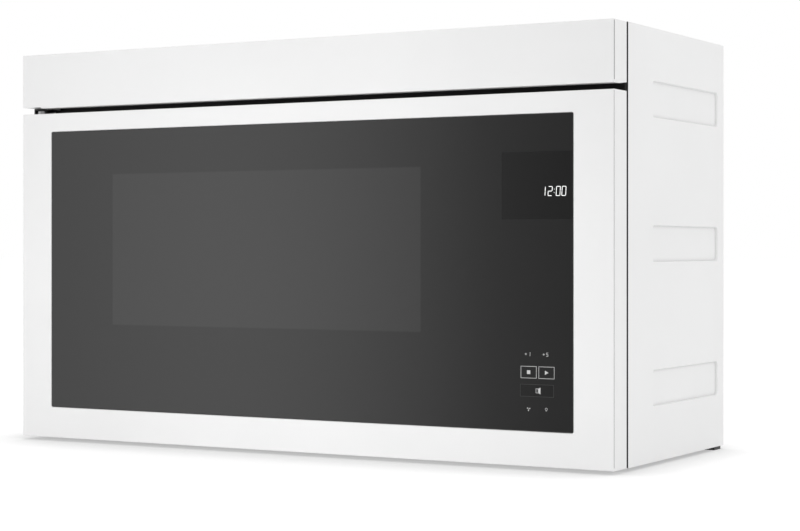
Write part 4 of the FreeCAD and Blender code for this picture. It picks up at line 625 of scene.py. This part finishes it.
def start_tree(name, inputs):
    """A geometry tree with named inputs; returns it with its group input node."""
    tree = bpy.data.node_groups.new(name, "GeometryNodeTree")
    tree.interface.new_socket("Geometry", in_out="INPUT", socket_type="NodeSocketGeometry")
    for title, kind in inputs.items():
        tree.interface.new_socket(title, in_out="INPUT", socket_type=kind)
    tree.interface.new_socket("Geometry", in_out="OUTPUT", socket_type="NodeSocketGeometry")
    return tree, tree.nodes.new("NodeGroupInput")


def math_node(tree, operation, a, b=None):
    """A Math node fed by outputs or plain numbers."""
    made = tree.nodes.new("ShaderNodeMath")
    made.operation = operation
    for socket, value in zip(made.inputs, (a, b)):
        if isinstance(value, (int, float)):
            socket.default_value = value
        elif value is not None:
            tree.links.new(value, socket)
    return made.outputs[0]


def vector_of(tree, x=0.0, y=0.0, z=0.0):
    made = tree.nodes.new("ShaderNodeCombineXYZ")
    for socket, value in zip(made.inputs, (x, y, z)):
        if isinstance(value, (int, float)):
            socket.default_value = value
        else:
            tree.links.new(value, socket)
    return made.outputs[0]


def end_tree(tree, given, instances):
    """Place the instances, make them real and give them their material."""
    place = tree.nodes.new("GeometryNodeTransform")
    real = tree.nodes.new("GeometryNodeRealizeInstances")
    paint = tree.nodes.new("GeometryNodeSetMaterial")
    out = tree.nodes.new("NodeGroupOutput")
    tree.links.new(instances, place.inputs["Geometry"])
    tree.links.new(given.outputs["Origin"], place.inputs["Translation"])
    tree.links.new(place.outputs["Geometry"], real.inputs["Geometry"])
    tree.links.new(real.outputs["Geometry"], paint.inputs["Geometry"])
    tree.links.new(given.outputs["Material"], paint.inputs["Material"])
    tree.links.new(paint.outputs["Geometry"], out.inputs["Geometry"])


def grow(name, tree, values, body, points=()):
    """Run a tree on a few points and keep the result as a plain mesh on a body."""
    seed_mesh = bpy.data.meshes.new(name + "_points")
    seed_mesh.from_pydata([tuple(p) for p in points], [], [])
    seed = bpy.data.objects.new(name + "_points", seed_mesh)
    bpy.context.collection.objects.link(seed)
    modifier = seed.modifiers.new("repeat", "NODES")
    modifier.node_group = tree
    for item in tree.interface.items_tree:
        if item.in_out == "INPUT" and item.name in values:
            modifier[item.identifier] = values[item.name]
    grown = seed.evaluated_get(bpy.context.evaluated_depsgraph_get())
    mesh = bpy.data.meshes.new_from_object(grown)
    mesh.name = name
    bpy.data.objects.remove(seed)
    piece = bpy.data.objects.new(name, mesh)
    bpy.context.collection.objects.link(piece)
    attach(piece, body)
    print(name, len(mesh.polygons), "faces")
    return piece


# %% [markdown]
# ## Pierced window sheet
# A microwave door lets light through and keeps the waves in with a sheet of fine staggered holes.
# The tree lays a grid of points, pushes every second row half a pitch sideways, and puts a thin
# six-sided wafer on each. Near-black wafers on the dark sheet are painted shadow, the shade inside
# the holes, and read as holes through the inner pane.

# %% Staggered holes
def staggered_tree():
    sizes = {"Width": FLOAT, "Height": FLOAT, "Pitch": FLOAT, "Radius": FLOAT, "Thickness": FLOAT,
             "Origin": VECTOR, "Material": MATERIAL}
    tree, given = start_tree("staggered holes", sizes)
    size = given.outputs
    row_pitch = math_node(tree, "MULTIPLY", size["Pitch"], math.sqrt(3) / 2)
    columns = math_node(tree, "FLOOR", math_node(tree, "DIVIDE", size["Width"], size["Pitch"]))
    rows = math_node(tree, "FLOOR", math_node(tree, "DIVIDE", size["Height"], row_pitch))
    grid = tree.nodes.new("GeometryNodeMeshGrid")
    for count, step, length, vertices in ((columns, size["Pitch"], "Size X", "Vertices X"),
                                          (rows, row_pitch, "Size Y", "Vertices Y")):
        tree.links.new(math_node(tree, "MULTIPLY", math_node(tree, "SUBTRACT", count, 1), step),
                       grid.inputs[length])
        tree.links.new(count, grid.inputs[vertices])
    split = tree.nodes.new("ShaderNodeSeparateXYZ")
    tree.links.new(tree.nodes.new("GeometryNodeInputPosition").outputs[0], split.inputs[0])
    row = math_node(tree, "ROUND", math_node(tree, "DIVIDE", math_node(
        tree, "ADD", split.outputs["Y"], size["Height"]), row_pitch))
    odd = math_node(tree, "SUBTRACT", math_node(tree, "MODULO", row, 2), 0.5)
    shift = math_node(tree, "MULTIPLY", odd, math_node(tree, "MULTIPLY", size["Pitch"], 0.5))
    stagger = tree.nodes.new("GeometryNodeSetPosition")
    tree.links.new(grid.outputs["Mesh"], stagger.inputs["Geometry"])
    tree.links.new(vector_of(tree, x=shift), stagger.inputs["Offset"])
    wafer = tree.nodes.new("GeometryNodeMeshCylinder")
    wafer.inputs["Vertices"].default_value = 6
    tree.links.new(size["Radius"], wafer.inputs["Radius"])
    tree.links.new(size["Thickness"], wafer.inputs["Depth"])
    copies = tree.nodes.new("GeometryNodeInstanceOnPoints")
    tree.links.new(stagger.outputs["Geometry"], copies.inputs["Points"])
    tree.links.new(wafer.outputs["Mesh"], copies.inputs["Instance"])
    upright = tree.nodes.new("GeometryNodeTransform")
    upright.inputs["Rotation"].default_value = (math.radians(90), 0, 0)
    tree.links.new(copies.outputs["Instances"], upright.inputs["Geometry"])
    end_tree(tree, given, upright.outputs["Geometry"])
    return tree


# painted shadow: the shade inside the screen's holes and the screws' cross recesses
painted_hole_shadow = finish("shadow in the holes", grey(6), grey(9), 0.7, grain=2500, bump=0.05)
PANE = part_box("inner_pane")
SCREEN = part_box("window_screen")
PANE_MARGIN = 0.012
(PANE_X0, _, PANE_Z0), (PANE_X1, _, PANE_Z1) = PANE
HOLES = {
    "Width": PANE_X1 - PANE_X0 - 2 * PANE_MARGIN,
    "Height": PANE_Z1 - PANE_Z0 - 2 * PANE_MARGIN,
    "Pitch": 0.0034,
    "Radius": 0.0012,
    "Thickness": 0.0003,
    "Origin": ((PANE_X0 + PANE_X1) / 2, SCREEN[1][1], (PANE_Z0 + PANE_Z1) / 2),
    "Material": painted_hole_shadow,
}
grow("window_screen_holes", staggered_tree(), HOLES, "door")

# %% [markdown]
# ## Expanded metal
# A grease filter is a frame filled with layers of expanded aluminium: rows of zigzag wire. One wire
# is a line of points pushed up and down in turn and swept with a four-sided profile, and the rows
# are copies of it, one tooth apart, so that their bends meet.

# %% Zigzag wires
def zigzag_tree():
    sizes = {"Length": FLOAT, "Depth": FLOAT, "Tooth": FLOAT, "Wire": FLOAT, "Origin": VECTOR,
             "Material": MATERIAL}
    tree, given = start_tree("zigzag wires", sizes)
    size = given.outputs
    line = tree.nodes.new("GeometryNodeMeshLine")
    half = math_node(tree, "MULTIPLY", size["Length"], -0.5)
    tree.links.new(math_node(tree, "FLOOR", math_node(tree, "DIVIDE", size["Length"], size["Tooth"])),
                   line.inputs["Count"])
    tree.links.new(vector_of(tree, x=half), line.inputs["Start Location"])
    tree.links.new(vector_of(tree, x=size["Tooth"]), line.inputs["Offset"])
    index = tree.nodes.new("GeometryNodeInputIndex").outputs[0]
    side = math_node(tree, "SUBTRACT", math_node(tree, "MODULO", index, 2), 0.5)
    bend = tree.nodes.new("GeometryNodeSetPosition")
    tree.links.new(line.outputs["Mesh"], bend.inputs["Geometry"])
    sway = math_node(tree, "MULTIPLY", side, size["Tooth"])
    tree.links.new(vector_of(tree, y=sway), bend.inputs["Offset"])
    path = tree.nodes.new("GeometryNodeMeshToCurve")
    tree.links.new(bend.outputs["Geometry"], path.inputs["Mesh"])
    profile = tree.nodes.new("GeometryNodeCurvePrimitiveCircle")
    profile.inputs["Resolution"].default_value = 4
    tree.links.new(math_node(tree, "MULTIPLY", size["Wire"], 0.5), profile.inputs["Radius"])
    wire = tree.nodes.new("GeometryNodeCurveToMesh")
    wire.inputs["Fill Caps"].default_value = True
    tree.links.new(path.outputs["Curve"], wire.inputs["Curve"])
    tree.links.new(profile.outputs["Curve"], wire.inputs["Profile Curve"])
    rows = tree.nodes.new("GeometryNodeMeshLine")
    tree.links.new(math_node(tree, "FLOOR", math_node(tree, "DIVIDE", size["Depth"], size["Tooth"])),
                   rows.inputs["Count"])
    tree.links.new(vector_of(tree, y=math_node(tree, "MULTIPLY", size["Depth"], -0.5)),
                   rows.inputs["Start Location"])
    tree.links.new(vector_of(tree, y=size["Tooth"]), rows.inputs["Offset"])
    copies = tree.nodes.new("GeometryNodeInstanceOnPoints")
    tree.links.new(rows.outputs["Mesh"], copies.inputs["Points"])
    tree.links.new(wire.outputs["Mesh"], copies.inputs["Instance"])
    end_tree(tree, given, copies.outputs["Instances"])
    return tree


FILTER_EDGE = 0.009      # frame and a little clearance, each side
WIRE_SET = 0.0024        # middle of the wires above the filter's lower face
TOOTH = 0.0036
WIRE = 0.0012
zigzag = zigzag_tree()
for side in ("left", "right"):
    low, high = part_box("grease_filter_" + side)
    grow("filter_mesh_" + side, zigzag,
         {"Length": high[0] - low[0] - 2 * FILTER_EDGE, "Depth": high[1] - low[1] - 2 * FILTER_EDGE,
          "Tooth": TOOTH, "Wire": WIRE, "Material": brushed,
          "Origin": ((low[0] + high[0]) / 2, (low[1] + high[1]) / 2, low[2] + WIRE_SET)},
         side + "_filter")

# %% [markdown]
# ## Screw recesses
# The screws hold the door's back and the bulkhead. Their heads are in the solids, and a driver needs
# a cross. Two crossed near-black bars stand a hair proud of each head, as painted shadow in the
# recess. A screw stops where it is tight, so a seeded random turn keeps the crosses from lining up.

# %% Cross recesses
def cross_tree():
    sizes = {"Arm": FLOAT, "Slot": FLOAT, "Thickness": FLOAT, "Origin": VECTOR, "Material": MATERIAL}
    tree, given = start_tree("cross recesses", sizes)
    size = given.outputs
    both = tree.nodes.new("GeometryNodeJoinGeometry")
    for across, up in ((size["Arm"], size["Slot"]), (size["Slot"], size["Arm"])):
        bar = tree.nodes.new("GeometryNodeMeshCube")
        tree.links.new(vector_of(tree, across, size["Thickness"], up), bar.inputs["Size"])
        tree.links.new(bar.outputs["Mesh"], both.inputs["Geometry"])
    turn = tree.nodes.new("FunctionNodeRandomValue")
    turn.data_type = "FLOAT"
    turn.inputs[3].default_value = math.radians(90)
    turn.inputs["Seed"].default_value = 7
    spin = tree.nodes.new("FunctionNodeEulerToRotation")
    tree.links.new(vector_of(tree, y=turn.outputs[1]), spin.inputs[0])
    copies = tree.nodes.new("GeometryNodeInstanceOnPoints")
    tree.links.new(given.outputs["Geometry"], copies.inputs["Points"])
    tree.links.new(both.outputs["Geometry"], copies.inputs["Instance"])
    tree.links.new(spin.outputs[0], copies.inputs["Rotation"])
    end_tree(tree, given, copies.outputs["Instances"])
    return tree


def loose_parts(name):
    """The box of each separate solid of a node, from its triangles."""
    bm = bmesh.new()
    bm.from_mesh(bpy.data.objects[name].data)
    bmesh.ops.remove_doubles(bm, verts=bm.verts, dist=1e-6)
    left = set(bm.verts)
    boxes = []
    while left:
        part = {left.pop()}
        edge = list(part)
        while edge:
            for link in edge.pop().link_edges:
                for vert in link.verts:
                    if vert in left:
                        left.discard(vert)
                        part.add(vert)
                        edge.append(vert)
        boxes.append([[pick(v.co[i] for v in part) for i in range(3)] for pick in (min, max)])
    bm.free()
    return sorted(boxes)


# %% Recesses on the door's and the bulkhead's screws
RECESS = {"Arm": 0.0042, "Slot": 0.0009, "Thickness": 0.0002, "Material": painted_hole_shadow}
cross = cross_tree()
for node_name, body, end in (("door_screws", "door", 1), ("bulkhead_screws", "root", 0)):
    places = [((low[0] + high[0]) / 2, (low, high)[end][1], (low[2] + high[2]) / 2)
              for low, high in loose_parts(node_name)]
    piece_name = node_name.replace("screws", "screw_recesses")
    grow(piece_name, cross, RECESS, body, points=places)

# %% [markdown]
# ## Floor, backdrop and light
# The object stands on a white floor that runs on into a white world. The light is mostly even, so
# the white finish keeps its own value and never clips. The floor is lifted to white for the camera
# alone. Part of the soft shadow under the object is left from its own shading, and the rest is painted
# shadow: an ambient occlusion node makes the lift weaker near the object.


# %% Floor
FLOOR_SHADE = 165        # what the camera sees of the floor's own shading
# the lift is lower close to the object, which paints part of its shadow
FLOOR_LIFT_AND_SHADOW = (0.44, 0.72)         # light added close to the object, and away from it
FLOOR_SHADOW_REACH = 0.08                # how far the soft shadow runs out


def make_floor():
    material, tree, shader = new_material("white floor")
    shader.inputs["Base Color"].default_value = grey(248)
    shader.inputs["Roughness"].default_value = 0.9
    shader.inputs["Specular IOR Level"].default_value = 0.0
    shaded = node(tree, "ShaderNodeBsdfDiffuse", Color=grey(FLOOR_SHADE))
    # painted shadow: ambient occlusion weakens the lift near the object
    near = node(tree, "ShaderNodeAmbientOcclusion", Distance=FLOOR_SHADOW_REACH)
    near.samples = 16
    level = node(tree, "ShaderNodeMapRange", From_Min=0.5, To_Min=FLOOR_LIFT_AND_SHADOW[0], To_Max=FLOOR_LIFT_AND_SHADOW[1])
    tree.links.new(near.outputs["AO"], level.inputs["Value"])
    lift = tree.nodes.new("ShaderNodeEmission")
    tree.links.new(level.outputs["Result"], lift.inputs["Strength"])
    total = tree.nodes.new("ShaderNodeAddShader")
    tree.links.new(shaded.outputs["BSDF"], total.inputs[0])
    tree.links.new(lift.outputs["Emission"], total.inputs[1])
    path = tree.nodes.new("ShaderNodeLightPath")
    seen = tree.nodes.new("ShaderNodeMixShader")
    tree.links.new(path.outputs["Is Camera Ray"], seen.inputs["Fac"])
    tree.links.new(shader.outputs["BSDF"], seen.inputs[1])
    tree.links.new(total.outputs["Shader"], seen.inputs[2])
    tree.links.new(seen.outputs["Shader"], tree.nodes["Material Output"].inputs["Surface"])
    bm = bmesh.new()
    bmesh.ops.create_grid(bm, x_segments=1, y_segments=1, size=40)
    mesh = bpy.data.meshes.new("floor")
    bm.to_mesh(mesh)
    bm.free()
    floor = bpy.data.objects.new("floor", mesh)
    floor.visible_glossy = False
    bpy.context.collection.objects.link(floor)
    floor.data.materials.append(material)


make_floor()
print("floor: shade", FLOOR_SHADE, "and lift", FLOOR_LIFT_AND_SHADOW)

# %% [markdown]
# The world is the room: an even pale light from everywhere. The camera sees it as plain white, so the
# background needs no extra light on the object.

# %% World
AMBIENT = 0.76


def make_world(ambient):
    """Plain pale light, which the camera sees as white."""
    world = bpy.data.worlds.new("studio")
    world.use_nodes = True
    bpy.context.scene.world = world
    tree = world.node_tree
    light = tree.nodes["Background"]
    light.inputs["Color"].default_value = (1, 1, 1, 1)
    light.inputs["Strength"].default_value = ambient
    seen = node(tree, "ShaderNodeBackground", Strength=1.0)
    seen.inputs["Color"].default_value = (1, 1, 1, 1)
    path = tree.nodes.new("ShaderNodeLightPath")
    mix = tree.nodes.new("ShaderNodeMixShader")
    tree.links.new(path.outputs["Is Camera Ray"], mix.inputs["Fac"])
    tree.links.new(light.outputs["Background"], mix.inputs[1])
    tree.links.new(seen.outputs["Background"], mix.inputs[2])
    tree.links.new(mix.outputs["Shader"], tree.nodes["World Output"].inputs["Surface"])


make_world(AMBIENT)
print("world strength", AMBIENT)

# %% [markdown]
# ## The gradient card
# Product photographers stand a large graded card beside the camera, and a glass front mirrors it as
# a slow change from dark to light. This one is a piece of a cylinder round the object. Only glossy
# rays meet it, so it shows in the glass and in the sheen of the white, and lights nothing else.

# %% Gradient card
CARD_RADIUS = 3.0
CARD_FROM = 2.0          # degrees from straight in front, towards the left
CARD_TO = 62.0
CARD_STOPS = [(0.0, 0.10), (16.0, 0.10), (21.5, 0.38), (24.5, 0.72), (28.5, 1.15), (33.0, 1.45),
              (37.5, 1.40), (44.0, 1.08), (62.0, 0.85)]


def make_card():
    material = bpy.data.materials.new("gradient card")
    material.use_nodes = True
    tree = material.node_tree
    tree.nodes.clear()
    output = tree.nodes.new("ShaderNodeOutputMaterial")
    glow = tree.nodes.new("ShaderNodeEmission")
    split = tree.nodes.new("ShaderNodeSeparateXYZ")
    tree.links.new(object_coordinates(tree), split.inputs["Vector"])
    flip = []
    for axis in ("X", "Y"):
        minus = tree.nodes.new("ShaderNodeMath")
        minus.operation = "MULTIPLY"
        minus.inputs[1].default_value = -1
        tree.links.new(split.outputs[axis], minus.inputs[0])
        flip.append(minus)
    angle = tree.nodes.new("ShaderNodeMath")
    angle.operation = "ARCTAN2"
    tree.links.new(flip[0].outputs[0], angle.inputs[0])
    tree.links.new(flip[1].outputs[0], angle.inputs[1])
    place = node(tree, "ShaderNodeMapRange", From_Max=math.radians(CARD_TO))
    tree.links.new(angle.outputs[0], place.inputs["Value"])
    ramp = tree.nodes.new("ShaderNodeValToRGB")
    ramp.color_ramp.interpolation = "B_SPLINE"
    brightest = max(value for _, value in CARD_STOPS)
    elements = ramp.color_ramp.elements
    while len(elements) < len(CARD_STOPS):
        elements.new(0.5)
    for element, (degrees, value) in zip(elements, CARD_STOPS):
        element.position = degrees / CARD_TO
        element.color = (value / brightest,) * 3 + (1,)
    tree.links.new(place.outputs["Result"], ramp.inputs["Fac"])
    tree.links.new(ramp.outputs["Color"], glow.inputs["Color"])
    glow.inputs["Strength"].default_value = brightest
    tree.links.new(glow.outputs["Emission"], output.inputs["Surface"])
    bm = bmesh.new()
    steps = 48
    rows = []
    for i in range(steps + 1):
        a = math.radians(CARD_FROM + (CARD_TO - CARD_FROM) * i / steps)
        x, y = -CARD_RADIUS * math.sin(a), -CARD_RADIUS * math.cos(a)
        rows.append([bm.verts.new((x, y, z)) for z in (-1.5, 2.5)])
    for (a, b), (c, d) in zip(rows, rows[1:]):
        bm.faces.new((a, b, d, c))
    mesh = bpy.data.meshes.new("gradient card")
    bm.to_mesh(mesh)
    bm.free()
    card = bpy.data.objects.new("gradient_card", mesh)
    card.data.materials.append(material)
    bpy.context.collection.objects.link(card)
    card.visible_camera = False
    card.visible_diffuse = False
    card.visible_transmission = False
    card.visible_shadow = False


make_card()
print("card from", CARD_FROM, "to", CARD_TO, "degrees")

# %% [markdown]
# ## Lamps
# Three softboxes add shape to the even light. A small one stands low in front, so the front is a
# little brighter at its middle and foot, one lights the right side, and a large one hangs above.

# %% Lamps
def area_lamp(name, place, target, size, watts):
    """A large soft lamp that does not show in the glass."""
    data = bpy.data.lights.new(name, "AREA")
    data.shape = "RECTANGLE"
    data.size, data.size_y = size
    data.energy = watts
    lamp = bpy.data.objects.new(name, data)
    lamp.location = place
    aim = Vector(target) - Vector(place)
    lamp.rotation_euler = aim.to_track_quat("-Z", "Y").to_euler()
    lamp.visible_glossy = False
    lamp.visible_camera = False
    bpy.context.collection.objects.link(lamp)


# name: place, target, size, watts
LAMPS = {
    "front softbox": ((0.0, -0.75, 0.06), (0, 0, 0.06), (0.5, 0.1), 1.15),
    "side softbox": ((3.2, -0.3, 1.0), (0.3, 0, 0.2), (2.0, 1.8), 12),
    "top softbox": ((0.2, 0.2, 3.0), (0, 0, 0), (2.6, 2.2), 26),
}
for name, setting in LAMPS.items():
    area_lamp(name, *setting)
print("lamps:", ", ".join(LAMPS))
